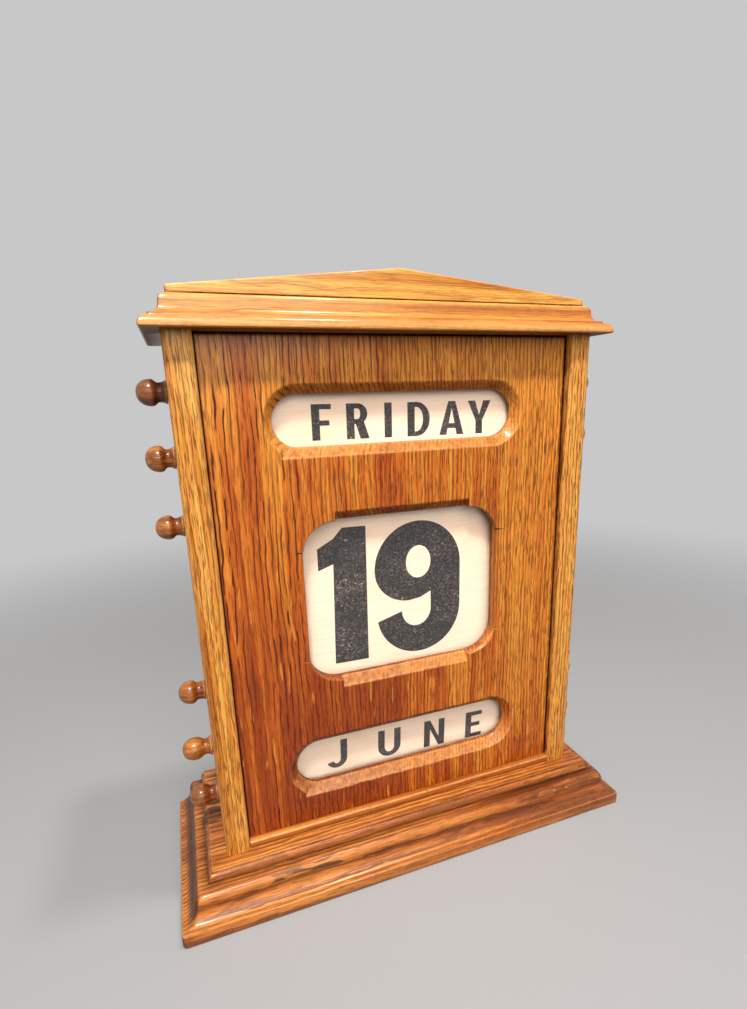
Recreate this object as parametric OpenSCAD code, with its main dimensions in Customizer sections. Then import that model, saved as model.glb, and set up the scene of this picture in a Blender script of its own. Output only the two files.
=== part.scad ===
// Perpetual desk calendar: an oak case with three windows, and a printed blind
// behind each window that is wound between two rollers with a knob at each end.
// Millimetres. +Z is up, the front faces -Y, and the origin is the centre of the
// base's underside.

/* [Case] */
// Width over the two sides
case_w = 225; // [215:1:280]
// Depth of the sides, front to back
case_depth = 74; // [68:1:110]
// Height of the sides, from the base to the cornice
case_h = 273; // [268:1:330]
// Thickness of each side
side_t = 13; // [11:0.5:16]
// Radius of the rounded front edges of the sides
side_round = 2.5; // [1:0.5:4]
// Thickness of the back panel
back_t = 8; // [6:0.5:10]

/* [Front panel] */
// Thickness of the front panel
panel_t = 7; // [5:0.5:9]
// How far the panel lies behind the front edges of the sides
panel_recess = 5.5; // [3:0.5:8]
// Depth of the grooves in the sides that hold the panel
groove_depth = 4; // [3:0.5:6]
// Height of the strip at the foot of the panel
sill_h = 4; // [3:0.5:6]

/* [Windows] */
// Length of the upper window, for the day
day_win_w = 134.4; // [110:0.2:150]
// Height of the upper window
day_win_h = 25.8; // [20:0.2:30]
// Centre of the upper window above the foot of the panel
day_win_z = 232.4; // [225:0.2:236]
// Length of the middle window, for the date
date_win_w = 114.8; // [95:0.2:130]
// Height of the middle window
date_win_h = 91; // [75:0.5:100]
// Centre of the middle window above the foot of the panel
date_win_z = 135.8; // [132:0.2:139]
// Radius of the corner bores of the middle window
date_win_r = 18; // [12:0.5:24]
// Length of the lower window, for the month
month_win_w = 136.8; // [110:0.2:150]
// Height of the lower window
month_win_h = 27.2; // [20:0.2:30]
// Centre of the lower window above the foot of the panel
month_win_z = 38.3; // [36:0.2:42]
// Depth of the sloping edges of the windows
win_bevel = 4.7; // [2:0.1:4.8]

/* [Glass] */
// Thickness of the window glasses
glass_t = 2; // [1.5:0.1:2.4]
// How far each glass reaches past its window
glass_lap = 5; // [4:0.5:6]

/* [Blinds] */
// Width of the printed cloth
cloth_w = 160; // [140:1:175]
// Thickness that stands for the flat cloth behind a window
web_t = 0.3; // [0.2:0.1:0.6]
// Thickness of the cloth wound on each day roller
day_wound_t = 0.6; // [0.4:0.1:1.5]
// Thickness of the cloth wound on each date roller
date_wound_t = 4.5; // [3:0.1:6]
// Thickness of the cloth wound on each month roller
month_wound_t = 0.9; // [0.4:0.1:2]
// Gap between the day glass and its cloth
day_web_gap = 0.8; // [0.6:0.1:4]
// Gap between the date glass and its cloth
date_web_gap = 2.4; // [0.6:0.1:5]
// Gap between the month glass and its cloth
month_web_gap = 3; // [0.6:0.1:5]
// How far the day rollers' axes lie above and below their window
day_axis_over = 2.4; // [1:0.1:3]
// How far the date rollers' axes lie above and below their window
date_axis_over = 0.9; // [0:0.1:3]
// How far the month rollers' axes lie above and below their window
month_axis_over = 1.8; // [1:0.1:3]
// How far the month rollers are set above their window's centre
month_axis_lift = 2.4; // [0:0.1:3]

/* [Rollers and knobs] */
// Diameter of a roller between the sides
roller_d = 10; // [9:0.5:10.5]
// Diameter of a roller where it turns in a side
journal_d = 8; // [7:0.5:8.5]
// Diameter of the tenon that carries a knob
tenon_d = 6; // [4:0.5:6.5]
// Length of the tenon
tenon_len = 6; // [4:0.5:7]
// Diameter of a knob's round head
knob_head_d = 12.8; // [11:0.2:15]
// Diameter of a knob at its waist
knob_waist_d = 9; // [8:0.2:10]
// Diameter of a knob's collar
knob_collar_d = 10.8; // [10:0.2:12]
// Length of a day roller's knob
day_knob_len = 13.6; // [12:0.1:18]
// Length of a date roller's knob
date_knob_len = 13.9; // [12:0.1:18]
// Length of a month roller's knob
month_knob_len = 15.7; // [12:0.1:18]
// Play between the knobs of one roller and the case
end_float = 1.6; // [1.2:0.1:2.4]

/* [Base] */
// Height of the moulded plinth
plinth_h = 20; // [16:0.5:28]
// Height of the plinth's upright edge
plinth_edge_h = 7.1; // [4:0.1:9]
// How far the middle of the plinth's double curve lies in from its edge
plinth_curve_in = 7.4; // [5:0.1:8]
// How far the top of the double curve lies in from the edge
plinth_curve_top = 10.8; // [9:0.1:12]
// How far the plinth stands out at the front
plinth_front_over = 24.5; // [20:0.5:40]
// How far the plinth stands out at each side
plinth_side_over = 26.2; // [20:0.2:40]
// How far the plinth stands out behind
plinth_back_over = 7.5; // [0:0.5:15]
// Thickness of the upper board of the base
step_h = 5.8; // [5:0.2:9]
// How far the upper board is set in from the plinth
step_inset = 15.5; // [13:0.5:16.5]

/* [Cornice and pediment] */
// Thickness of the cornice
cornice_h = 15; // [14:0.5:20]
// How far the cornice stands out past the case
cornice_over = 8.3; // [7:0.1:14]
// How far the pediment lies behind the front edges of the sides
pediment_back = 4; // [2:0.5:8]
// Length of the pediment
pediment_w = 217; // [180:1:221]
// Thickness of the pediment, front to back
pediment_t = 16; // [12:0.5:24]
// Height of the pediment at its ends
pediment_end_h = 3.5; // [2:0.5:6]
// Height of the pediment at its middle
pediment_h = 14.6; // [10:0.2:24]

/* [Hidden] */
$fn = 48;
eps = 0.01;

// Clearances
bore_clear = 0.1;
fit_clear = 0.05;
board_clear = 0.2;
cloth_gap = 0.3;
shoulder_gap = 1.5;

// Case planes
half_w = case_w / 2;
inner_w = case_w - 2 * side_t;
base_h = plinth_h + step_h;
case_top = base_h + case_h;
base_w = case_w + 2 * plinth_side_over;
base_depth = plinth_front_over + case_depth + plinth_back_over;
base_front = -base_depth / 2;
base_back = base_depth / 2;
case_front = base_front + plinth_front_over;
case_back = case_front + case_depth;
panel_front = case_front + panel_recess;
panel_back = panel_front + panel_t;
glass_back = panel_back + glass_t;
rabbet = 6;
back_front = case_back - back_t;

// Each blind: [window length, window height, window centre, roll radius, axis y, lower axis z,
// upper axis z, knob length, shift of its rollers towards +X]
function blind_of(w, h, z, wound, gap, over, lift, knob, shift) = let (r = roller_d / 2 + wound)
    [w, h, z, r, glass_back + gap + web_t + cloth_gap + r, z + lift - h / 2 - over, z + lift + h / 2 + over,
     knob, shift];
WIN_W = 0;
WIN_H = 1;
WIN_Z = 2;
ROLL_R = 3;
AXIS_Y = 4;
LOWER = 5;
UPPER = 6;
KNOB = 7;
SHIFT = 8;
DAY = blind_of(day_win_w, day_win_h, base_h + day_win_z, day_wound_t, day_web_gap, day_axis_over, 0,
               day_knob_len, 0.5);
DATE = blind_of(date_win_w, date_win_h, base_h + date_win_z, date_wound_t, date_web_gap, date_axis_over, 0,
                date_knob_len, 0.4);
MONTH = blind_of(month_win_w, month_win_h, base_h + month_win_z, month_wound_t, month_web_gap,
                 month_axis_over, month_axis_lift, month_knob_len, 0.3);
BLINDS = [DAY, DATE, MONTH];

// Fasteners
pin_d = 1.2;
pin_len = 4;
pin_head_d = 4;
pin_head_t = 0.6;
pin_x = 42;
back_screw = [2.4, 5, 14];
base_screw = [4, 8, 42];
cornice_screw = [4, 8, 32];
back_screw_x = inner_w / 2 + rabbet / 2;
post_x = half_w - side_t / 2;
screw_inset = 12;
dowel_d = 6;
dowel_x = 40;
dowel_in = 8;
dowel_up = 6;

oak = "#b9722f";
oak_light = "#d09a4e";
oak_dark = "#8a4a20";

// Points on an arc about c, from angle a0 to a1
function arc(c, r, a0, a1, n = 7) =
    [for (i = [0:n]) let (t = a0 + (a1 - a0) * i / n) c + r * [cos(t), sin(t)]];

// A hollow curve from a, level there, to b, upright there
function cove(a, b, n = 7) = [for (i = [0:n]) let (t = 90 * i / n)
    [a[0] + (b[0] - a[0]) * sin(t), a[1] + (b[1] - a[1]) * (1 - cos(t))]];

// A round curve from a, upright there, to b, level there
function ovolo(a, b, n = 7) = [for (i = [0:n]) let (t = 90 * i / n)
    [a[0] + (b[0] - a[0]) * (1 - cos(t)), a[1] + (b[1] - a[1]) * sin(t)]];

// A board with one moulded profile on its front and both ends; its points are [distance in, height]
module moulded_board(w, front, back, edge) {
    top = edge[len(edge) - 1][1];
    ends = concat([for (p = edge) [w / 2 - p[0], p[1]]],
                  [for (i = [len(edge) - 1:-1:0]) [edge[i][0] - w / 2, edge[i][1]]]);
    sweep = concat([for (p = edge) [front + p[0], p[1]]], [[back, top], [back, edge[0][1]]]);
    intersection() {
        translate([0, back, 0]) rotate([90, 0, 0]) linear_extrude(back - front) polygon(ends);
        translate([-w / 2, 0, 0]) rotate([90, 0, 90]) linear_extrude(w) polygon(sweep);
    }
}

// A cylinder along +X, from its start point
module rod_x(d, len) {
    rotate([0, 90, 0]) cylinder(d = d, h = len);
}

// A round-cornered opening in the XZ plane; the radius may be half the height
module opening_2d(w, h, r) {
    square([w - 2 * r, h], center = true);
    if (h > 2 * r) square([w, h - 2 * r], center = true);
    for (x = [-1, 1], y = [-1, 1]) translate([x * (w / 2 - r), y * (h / 2 - r)]) circle(r);
}

// The through cut of a window, with the bevel as deep as win_bevel at 45 degrees
module window_cut(blind, r, round_bevel) {
    w = blind[WIN_W];
    h = blind[WIN_H];
    flat = w - 2 * r;
    slope = win_bevel + eps;
    translate([0, panel_front, blind[WIN_Z]]) rotate([90, 0, 0]) {
        translate([0, 0, -panel_t - eps]) linear_extrude(panel_t + 2 * eps) opening_2d(w, h, r);
        translate([-flat / 2, 0, 0]) rotate([90, 0, 90]) linear_extrude(flat)
            polygon([[-h / 2, -slope], [h / 2, -slope], [h / 2 + slope, eps], [-h / 2 - slope, eps]]);
        if (round_bevel) for (x = [-1, 1])
            translate([x * flat / 2, 0, -slope]) cylinder(r1 = r, r2 = r + slope + eps, h = slope + eps);
    }
}

// Where the pins stand round a glass: [x, z]
function pin_places(blind) = [for (x = [-1, 1], z = [-1, 1])
    [x * pin_x, blind[WIN_Z] + z * (blind[WIN_H] / 2 + glass_lap + pin_d / 2 + board_clear)]];

// A countersunk screw with a slot, head up at z = 0 and its length downwards; size is [shank, head, length]
module screw(size) {
    head_t = (size[1] - size[0]) / 2;
    difference() {
        union() {
            translate([0, 0, -head_t]) cylinder(d1 = size[0], d2 = size[1], h = head_t);
            translate([0, 0, -size[2]]) cylinder(d = size[0], h = size[2] - head_t + eps);
        }
        translate([0, 0, -head_t / 4]) cube([size[1] + 1, size[0] / 5, head_t / 2 + eps], center = true);
    }
}

// The hole that the screw fits
module screw_hole(size) {
    head_t = (size[1] - size[0]) / 2;
    translate([0, 0, -head_t - fit_clear])
        cylinder(d1 = size[0] + 2 * fit_clear, d2 = size[1] + 4 * fit_clear, h = head_t + fit_clear + eps);
    translate([0, 0, -size[2] - fit_clear]) cylinder(d = size[0] + 2 * fit_clear, h = size[2]);
}

module at_back_screws() {
    for (x = [-1, 1], z = [0.08, 0.5, 0.92])
        translate([x * back_screw_x, case_back, base_h + z * case_h]) rotate([-90, 0, 0]) children();
}

module at_base_screws() {
    for (x = [-1, 1], y = [case_front + screw_inset, case_back - screw_inset])
        translate([x * post_x, y, 0]) rotate([180, 0, 0]) children();
}

module at_cornice_screws() {
    for (x = [-1, 1], y = [case_front + screw_inset, case_back - screw_inset])
        translate([x * post_x, y, case_top + cornice_h]) children();
}

module at_dowels() {
    for (x = [-1, 1])
        translate([x * dowel_x, case_front + screw_inset, case_top + cornice_h]) children();
}

// Base
module base_plinth() {
    arris = 0.4;
    curve_z = (plinth_edge_h + plinth_h) / 2;
    edge = concat(
        [[arris, 0], [0, arris], [0, plinth_edge_h - arris], [arris, plinth_edge_h]],
        cove([2 * arris, plinth_edge_h], [plinth_curve_in, curve_z]),
        ovolo([plinth_curve_in, curve_z + 2 * arris], [plinth_curve_top, plinth_h]),
        [[step_inset + 3, plinth_h]]);
    color(oak_dark) difference() {
        moulded_board(base_w, base_front, base_back, edge);
        at_base_screws() screw_hole(base_screw);
    }
}

module base_step() {
    arris = 0.3;
    edge_h = step_h * 0.3;
    lip = 0.9;
    round_in = 1.7;
    edge = concat(
        [[arris, 0], [0, arris], [0, edge_h]],
        ovolo([0, edge_h], [round_in, step_h - lip - arris], 5),
        [[round_in, step_h - lip], [round_in + arris, step_h - lip], [round_in + arris, step_h - arris],
         [round_in + 2 * arris, step_h]]);
    color(oak) difference() {
        translate([0, 0, plinth_h])
            moulded_board(base_w - 2 * step_inset, base_front + step_inset, base_back, edge);
        at_base_screws() screw_hole(base_screw);
    }
}

// One side, in plan, inner face at x = 0: rounded front arrises, a panel groove and a back rabbet
module side_plan() {
    difference() {
        union() {
            translate([0, case_front + side_round]) square([side_t, case_depth - side_round]);
            translate([side_round, case_front]) square([side_t - 2 * side_round, side_round + eps]);
            for (x = [side_round, side_t - side_round])
                translate([x, case_front + side_round]) circle(side_round);
        }
        translate([-eps, panel_front - board_clear])
            square([groove_depth + eps, panel_t + 2 * board_clear]);
        translate([-eps, back_front]) square([rabbet + eps, back_t + eps]);
    }
}

module side_board() {
    difference() {
        translate([inner_w / 2, 0, base_h]) linear_extrude(case_h) side_plan();
        for (blind = BLINDS, end = [LOWER, UPPER])
            translate([inner_w / 2 - 1, blind[AXIS_Y], blind[end]])
                rod_x(journal_d + 2 * bore_clear, side_t + 2);
        at_base_screws() screw_hole(base_screw);
        at_cornice_screws() screw_hole(cornice_screw);
        at_back_screws() screw_hole(back_screw);
    }
}

module right_side() {
    color(oak_light) side_board();
}

module left_side() {
    color(oak_light) mirror([1, 0, 0]) side_board();
}

module front_panel() {
    width = inner_w + 2 * (groove_depth - board_clear);
    color(oak) difference() {
        translate([-width / 2, panel_front, base_h]) cube([width, panel_t, case_h - board_clear]);
        window_cut(DAY, DAY[WIN_H] / 2, true);
        window_cut(DATE, date_win_r, false);
        window_cut(MONTH, MONTH[WIN_H] / 2, true);
        for (blind = BLINDS, p = pin_places(blind))
            translate([p[0], panel_back + eps, p[1]]) rotate([90, 0, 0])
                cylinder(d = pin_d + 2 * fit_clear, h = pin_len + fit_clear + eps);
    }
}

module sill_strip() {
    depth = panel_recess - 1.3;
    color(oak_light) translate([-inner_w / 2 + board_clear, 0, base_h]) rotate([90, 0, 90])
        linear_extrude(inner_w - 2 * board_clear) polygon(concat(
            [[panel_front, 0], [panel_front, sill_h]],
            arc([panel_front - depth + 1.2, sill_h - 1.2], 1.2, 90, 180, 5),
            [[panel_front - depth, 0]]));
}

module back_panel() {
    width = inner_w + 2 * (rabbet - board_clear);
    color(oak_dark) difference() {
        translate([-width / 2, back_front, base_h]) cube([width, back_t, case_h - board_clear]);
        at_back_screws() screw_hole(back_screw);
    }
}

// Triangular blocks glued in the corners between the sides and the base and cornice
module corner_blocks() {
    leg = 11;
    run = case_depth * 0.38;
    color(oak_light) for (x = [0, 1], z = [0, 1])
        mirror([x, 0, 0]) translate([inner_w / 2, back_front - board_clear, z == 0 ? base_h : case_top])
            rotate([90, 0, 0]) linear_extrude(run)
                polygon([[0, 0], [-leg, 0], [0, z == 0 ? leg : -leg]]);
}

// Cornice and pediment
module cornice() {
    nose = 0.6;
    round_in = 4.1;
    round_top = cornice_h * 0.36;
    quirk = 0.9;
    band = 3.6;
    band_in = cornice_over + 0.8;
    edge = concat(
        [[nose, 0], [0, nose]],
        ovolo([0, nose], [round_in, round_top]),
        cove([round_in + 0.3, round_top + quirk], [band_in, cornice_h - band]),
        [[band_in + 0.2, cornice_h - 1.4], [band_in + 0.6, cornice_h - 0.5], [band_in + 1.8, cornice_h]]);
    color(oak_light) difference() {
        translate([0, 0, case_top])
            moulded_board(case_w + 2 * cornice_over, case_front - cornice_over, case_back, edge);
        at_cornice_screws() screw_hole(cornice_screw);
        at_dowels() translate([0, 0, -dowel_in - fit_clear])
            cylinder(d = dowel_d + 2 * fit_clear, h = dowel_in + 1);
    }
}

module pediment() {
    crown_r = 14;
    slope = atan((pediment_h - pediment_end_h) / (pediment_w / 2));
    color(oak_light) difference() {
        translate([0, case_front + pediment_back + pediment_t, case_top + cornice_h]) rotate([90, 0, 0])
            linear_extrude(pediment_t) polygon(concat(
                [[-pediment_w / 2, 0], [pediment_w / 2, 0], [pediment_w / 2, pediment_end_h]],
                arc([0, pediment_h - crown_r], crown_r, 90 - slope, 90 + slope, 4),
                [[-pediment_w / 2, pediment_end_h]]));
        at_dowels() translate([0, 0, -1]) cylinder(d = dowel_d + 2 * fit_clear, h = dowel_up + 1 + fit_clear);
    }
}

module pediment_dowels() {
    color(oak_light) at_dowels() translate([0, 0, -dowel_in]) cylinder(d = dowel_d, h = dowel_in + dowel_up);
}

// Glasses and their pins
module glass(blind) {
    w = blind[WIN_W] + 2 * glass_lap;
    h = blind[WIN_H] + 2 * glass_lap;
    color("#cfd8d8", 0.35) translate([-w / 2, panel_back, blind[WIN_Z] - h / 2]) cube([w, glass_t, h]);
}

module glass_pins() {
    color("#b08d4a") for (blind = BLINDS, p = pin_places(blind))
        translate([p[0], glass_back, p[1]]) rotate([90, 0, 0]) {
            cylinder(d = pin_d, h = glass_t + pin_len);
            translate([0, 0, -pin_head_t]) cylinder(d = pin_head_d, h = pin_head_t);
        }
}

module back_screws() {
    color("#b08d4a") at_back_screws() screw(back_screw);
}

module base_screws() {
    color("#8f8a80") at_base_screws() screw(base_screw);
}

module cornice_screws() {
    color("#8f8a80") at_cornice_screws() screw(cornice_screw);
}

// Blinds
module web(blind) {
    front = blind[AXIS_Y] - blind[ROLL_R] - cloth_gap - web_t;
    color("ivory") translate([blind[SHIFT] - cloth_w / 2, front, blind[LOWER]])
        cube([cloth_w, web_t, blind[UPPER] - blind[LOWER]]);
}

module roller(blind, end) {
    barrel = inner_w - 2 * shoulder_gap;
    collars = case_w + end_float;
    color(oak) translate([blind[SHIFT], blind[AXIS_Y], blind[end]]) {
        translate([-barrel / 2, 0, 0]) rod_x(roller_d, barrel);
        translate([-collars / 2, 0, 0]) rod_x(journal_d, collars);
        translate([-collars / 2 - tenon_len, 0, 0]) rod_x(tenon_d, collars + 2 * tenon_len);
    }
}

module roll(blind, end) {
    color("ivory") translate([blind[SHIFT] - cloth_w / 2, blind[AXIS_Y], blind[end]]) difference() {
        rod_x(2 * blind[ROLL_R], cloth_w);
        translate([-1, 0, 0]) rod_x(roller_d + 2 * fit_clear, cloth_w + 2);
    }
}

// A turned knob along +X, with its collar's face at x = 0
module knob_shape(len) {
    head_r = knob_head_d / 2;
    collar_t = 3;
    rim_t = 0.8;
    rotate([0, 90, 0]) difference() {
        rotate_extrude() union() {
            intersection() {
                translate([0, len - head_r]) circle(head_r);
                square([head_r + 1, len + 1]);
            }
            square([knob_waist_d / 2, len - head_r]);
            polygon([[0, 0], [knob_collar_d / 2, 0], [knob_collar_d / 2, rim_t], [knob_waist_d / 2, collar_t],
                     [0, collar_t]]);
        }
        translate([0, 0, -1]) cylinder(d = tenon_d + 2 * fit_clear, h = tenon_len + 1 + fit_clear);
    }
}

module right_knob(blind, end) {
    color(oak_dark) translate([blind[SHIFT] + (case_w + end_float) / 2, blind[AXIS_Y], blind[end]])
        knob_shape(blind[KNOB]);
}

module left_knob(blind, end) {
    color(oak_dark) translate([blind[SHIFT] - (case_w + end_float) / 2, blind[AXIS_Y], blind[end]])
        mirror([1, 0, 0]) knob_shape(blind[KNOB]);
}

base_plinth();
base_step();
left_side();
right_side();
front_panel();
sill_strip();
back_panel();
cornice();
pediment();
corner_blocks();
glass(DAY);  // day_glass
glass(DATE);  // date_glass
glass(MONTH);  // month_glass
glass_pins();
back_screws();
base_screws();
cornice_screws();
pediment_dowels();
web(DAY);  // day_web
web(DATE);  // date_web
web(MONTH);  // month_web
roller(DAY, UPPER);  // day_upper_roller
roller(DAY, LOWER);  // day_lower_roller
roller(DATE, UPPER);  // date_upper_roller
roller(DATE, LOWER);  // date_lower_roller
roller(MONTH, UPPER);  // month_upper_roller
roller(MONTH, LOWER);  // month_lower_roller
roll(DAY, UPPER);  // day_upper_roll
roll(DAY, LOWER);  // day_lower_roll
roll(DATE, UPPER);  // date_upper_roll
roll(DATE, LOWER);  // date_lower_roll
roll(MONTH, UPPER);  // month_upper_roll
roll(MONTH, LOWER);  // month_lower_roll
left_knob(DAY, UPPER);  // day_upper_left_knob
left_knob(DAY, LOWER);  // day_lower_left_knob
left_knob(DATE, UPPER);  // date_upper_left_knob
left_knob(DATE, LOWER);  // date_lower_left_knob
left_knob(MONTH, UPPER);  // month_upper_left_knob
left_knob(MONTH, LOWER);  // month_lower_left_knob
right_knob(DAY, UPPER);  // day_upper_right_knob
right_knob(DAY, LOWER);  // day_lower_right_knob
right_knob(DATE, UPPER);  // date_upper_right_knob
right_knob(DATE, LOWER);  // date_lower_right_knob
right_knob(MONTH, UPPER);  // month_upper_right_knob
right_knob(MONTH, LOWER);  // month_lower_right_knob
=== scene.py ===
"""A perpetual desk calendar: the looks of its oak case, windows, cloth blinds and knobs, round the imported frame."""

import logging
import math
from dataclasses import dataclass, field, replace
from enum import Enum
from typing import Callable, Mapping, NamedTuple, Sequence

import bmesh
import bpy
from bpy.types import Camera, Light, Material, Mesh, Node, NodeSocket, NodeTree, Object
from mathutils import Matrix, Vector, noise
from mathutils.geometry import tessellate_polygon


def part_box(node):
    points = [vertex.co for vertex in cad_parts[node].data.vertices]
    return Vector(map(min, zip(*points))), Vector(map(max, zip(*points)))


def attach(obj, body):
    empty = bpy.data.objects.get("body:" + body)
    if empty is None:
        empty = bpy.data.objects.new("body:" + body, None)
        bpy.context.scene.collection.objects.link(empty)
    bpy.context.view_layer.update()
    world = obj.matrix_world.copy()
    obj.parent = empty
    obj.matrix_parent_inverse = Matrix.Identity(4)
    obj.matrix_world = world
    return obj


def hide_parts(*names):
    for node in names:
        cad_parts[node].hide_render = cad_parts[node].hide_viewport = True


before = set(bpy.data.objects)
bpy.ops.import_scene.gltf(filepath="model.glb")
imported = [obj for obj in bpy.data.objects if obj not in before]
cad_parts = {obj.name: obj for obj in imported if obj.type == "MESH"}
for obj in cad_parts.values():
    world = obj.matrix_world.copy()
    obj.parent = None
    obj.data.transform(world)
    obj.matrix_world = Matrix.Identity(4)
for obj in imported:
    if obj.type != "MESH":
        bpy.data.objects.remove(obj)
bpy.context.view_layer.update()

MM = 0.001
SHARP_ANGLE = 32.0
CASE = "case"
IMAGE_WIDTH, IMAGE_HEIGHT = 747, 1009
LOG = logging.getLogger("desk_calendar")


class Blind(Enum):
    """The three blinds, by the name that their CAD nodes start with."""

    DAY = "day"
    DATE = "date"
    MONTH = "month"


class End(Enum):
    """The two rollers of a blind."""

    UPPER = "upper"
    LOWER = "lower"


class Side(Enum):
    """The two ends of a roller; the value is the way that end points along X."""

    LEFT = -1
    RIGHT = 1


class Grain(Enum):
    """Which object axes run across, through and along the log in a board, in that order."""

    UPRIGHT_FACE = "XYZ"
    UPRIGHT_SIDE = "YXZ"
    LENGTHWAYS = "YZX"


class TreeKind(Enum):
    """The two kinds of node group, by Blender's names."""

    SHADER = "ShaderNodeTree"
    GEOMETRY = "GeometryNodeTree"


# ---------------------------------------------------------------------------------------------------------------------
# Node trees


def colour(code: str) -> tuple[float, float, float, float]:
    """Turns a display colour such as "C08040" into the linear colour that a shader takes.

    Args:
        code: six hexadecimal digits.

    Returns:
        Red, green, blue and alpha.
    """
    parts = [int(code[i : i + 2], 16) / 255 for i in (0, 2, 4)]
    linear = [c / 12.92 if c <= 0.04045 else ((c + 0.055) / 1.055) ** 2.4 for c in parts]
    return (*linear, 1.0)


class Bench:
    """Adds nodes to one node tree and joins them."""

    def __init__(self, tree: NodeTree) -> None:
        """Takes the tree to work on."""
        self.tree = tree

    def feed(self, socket: NodeSocket, value: object) -> None:
        """Links a socket to another, or sets its plain value.

        Args:
            socket: the input.
            value: an output socket, or a number, vector or colour.
        """
        if isinstance(value, NodeSocket):
            self.tree.links.new(value, socket)
        else:
            socket.default_value = value

    def add(self, kind: str, inputs: Mapping[str | int, object] | None = None, **settings: object) -> Node:
        """Adds a node.

        Args:
            kind: Blender's name for the node type.
            inputs: what each input gets, by name or place.
            settings: the node's own properties.

        Returns:
            The node.
        """
        node = self.tree.nodes.new(kind)
        for name, value in settings.items():
            setattr(node, name, value)
        for key, value in (inputs or {}).items():
            self.feed(node.inputs[key], value)
        return node

    def math(self, operation: str, *values: object, clamp: bool = False) -> NodeSocket:
        """A Math node's result for one to three values."""
        node = self.add("ShaderNodeMath", dict(enumerate(values)), operation=operation, use_clamp=clamp)
        return node.outputs[0]

    def plus(self, first: object, second: object, clamp: bool = False) -> NodeSocket:
        """The sum of two values."""
        return self.math("ADD", first, second, clamp=clamp)

    def minus(self, first: object, second: object) -> NodeSocket:
        """The first value less the second."""
        return self.math("SUBTRACT", first, second)

    def times(self, first: object, second: object, clamp: bool = False) -> NodeSocket:
        """The product of two values."""
        return self.math("MULTIPLY", first, second, clamp=clamp)

    def combined(self, inputs: Mapping[str | int, object]) -> NodeSocket:
        """A vector made of the numbers given for X, Y and Z."""
        return self.add("ShaderNodeCombineXYZ", inputs).outputs[0]

    def split(self, place: object) -> Sequence[NodeSocket]:
        """The three numbers of a vector."""
        return self.add("ShaderNodeSeparateXYZ", {0: place}).outputs

    def vector(self, operation: str, *values: object) -> NodeSocket:
        """A Vector Math node's vector result."""
        return self.add("ShaderNodeVectorMath", dict(enumerate(values)), operation=operation).outputs[0]

    def noise(
        self,
        place: NodeSocket,
        stretch: tuple[float, float, float],
        detail: float = 1.0,
        roughness: float = 0.5,
        coloured: bool = False,
    ) -> NodeSocket:
        """A noise pattern whose cells are 1 / stretch metres long along each axis.

        Args:
            place: the coordinates, in metres.
            stretch: cells per metre along each axis.
            detail: octaves beyond the first.
            roughness: how strong the finer octaves are.
            coloured: True for three independent values instead of one.

        Returns:
            The noise's value or colour socket, about 0.5 on average.
        """
        scaled = self.vector("MULTIPLY", place, stretch)
        inputs = {"Vector": scaled, "Scale": 1.0, "Detail": detail, "Roughness": roughness}
        return self.add("ShaderNodeTexNoise", inputs).outputs[1 if coloured else 0]

    def step(self, value: object, low: float, high: float, to_low: float = 0.0, to_high: float = 1.0) -> NodeSocket:
        """A smooth step of value from to_low at low to to_high at high."""
        inputs = {"Value": value, "From Min": low, "From Max": high, "To Min": to_low, "To Max": to_high}
        return self.add("ShaderNodeMapRange", inputs, interpolation_type="SMOOTHSTEP").outputs[0]

    def mix(self, share: object, first: object, second: object, blend: str = "MIX") -> NodeSocket:
        """A mix of two colours."""
        inputs = {0: share, 6: first, 7: second}
        return self.add("ShaderNodeMix", inputs, data_type="RGBA", blend_type=blend, clamp_factor=True).outputs[2]


def new_group(
    name: str, kind: TreeKind, inputs: Mapping[str, Sequence[str]], outputs: Mapping[str, Sequence[str]]
) -> tuple[NodeTree, Bench, Node, Node]:
    """Starts a node group.

    Args:
        name: the group's name.
        kind: what it is for.
        inputs: the labels of its inputs, under the kind of their sockets, such as Float or Color.
        outputs: the same for its outputs.

    Returns:
        The tree, a bench for it, and its input and output nodes.
    """
    tree = bpy.data.node_groups.new(name, kind.value)
    for way, sockets in (("INPUT", inputs), ("OUTPUT", outputs)):
        for socket, labels in sockets.items():
            for label in labels:
                tree.interface.new_socket(name=label, in_out=way, socket_type=f"NodeSocket{socket}")
    bench = Bench(tree)
    return tree, bench, bench.add("NodeGroupInput"), bench.add("NodeGroupOutput")


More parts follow.
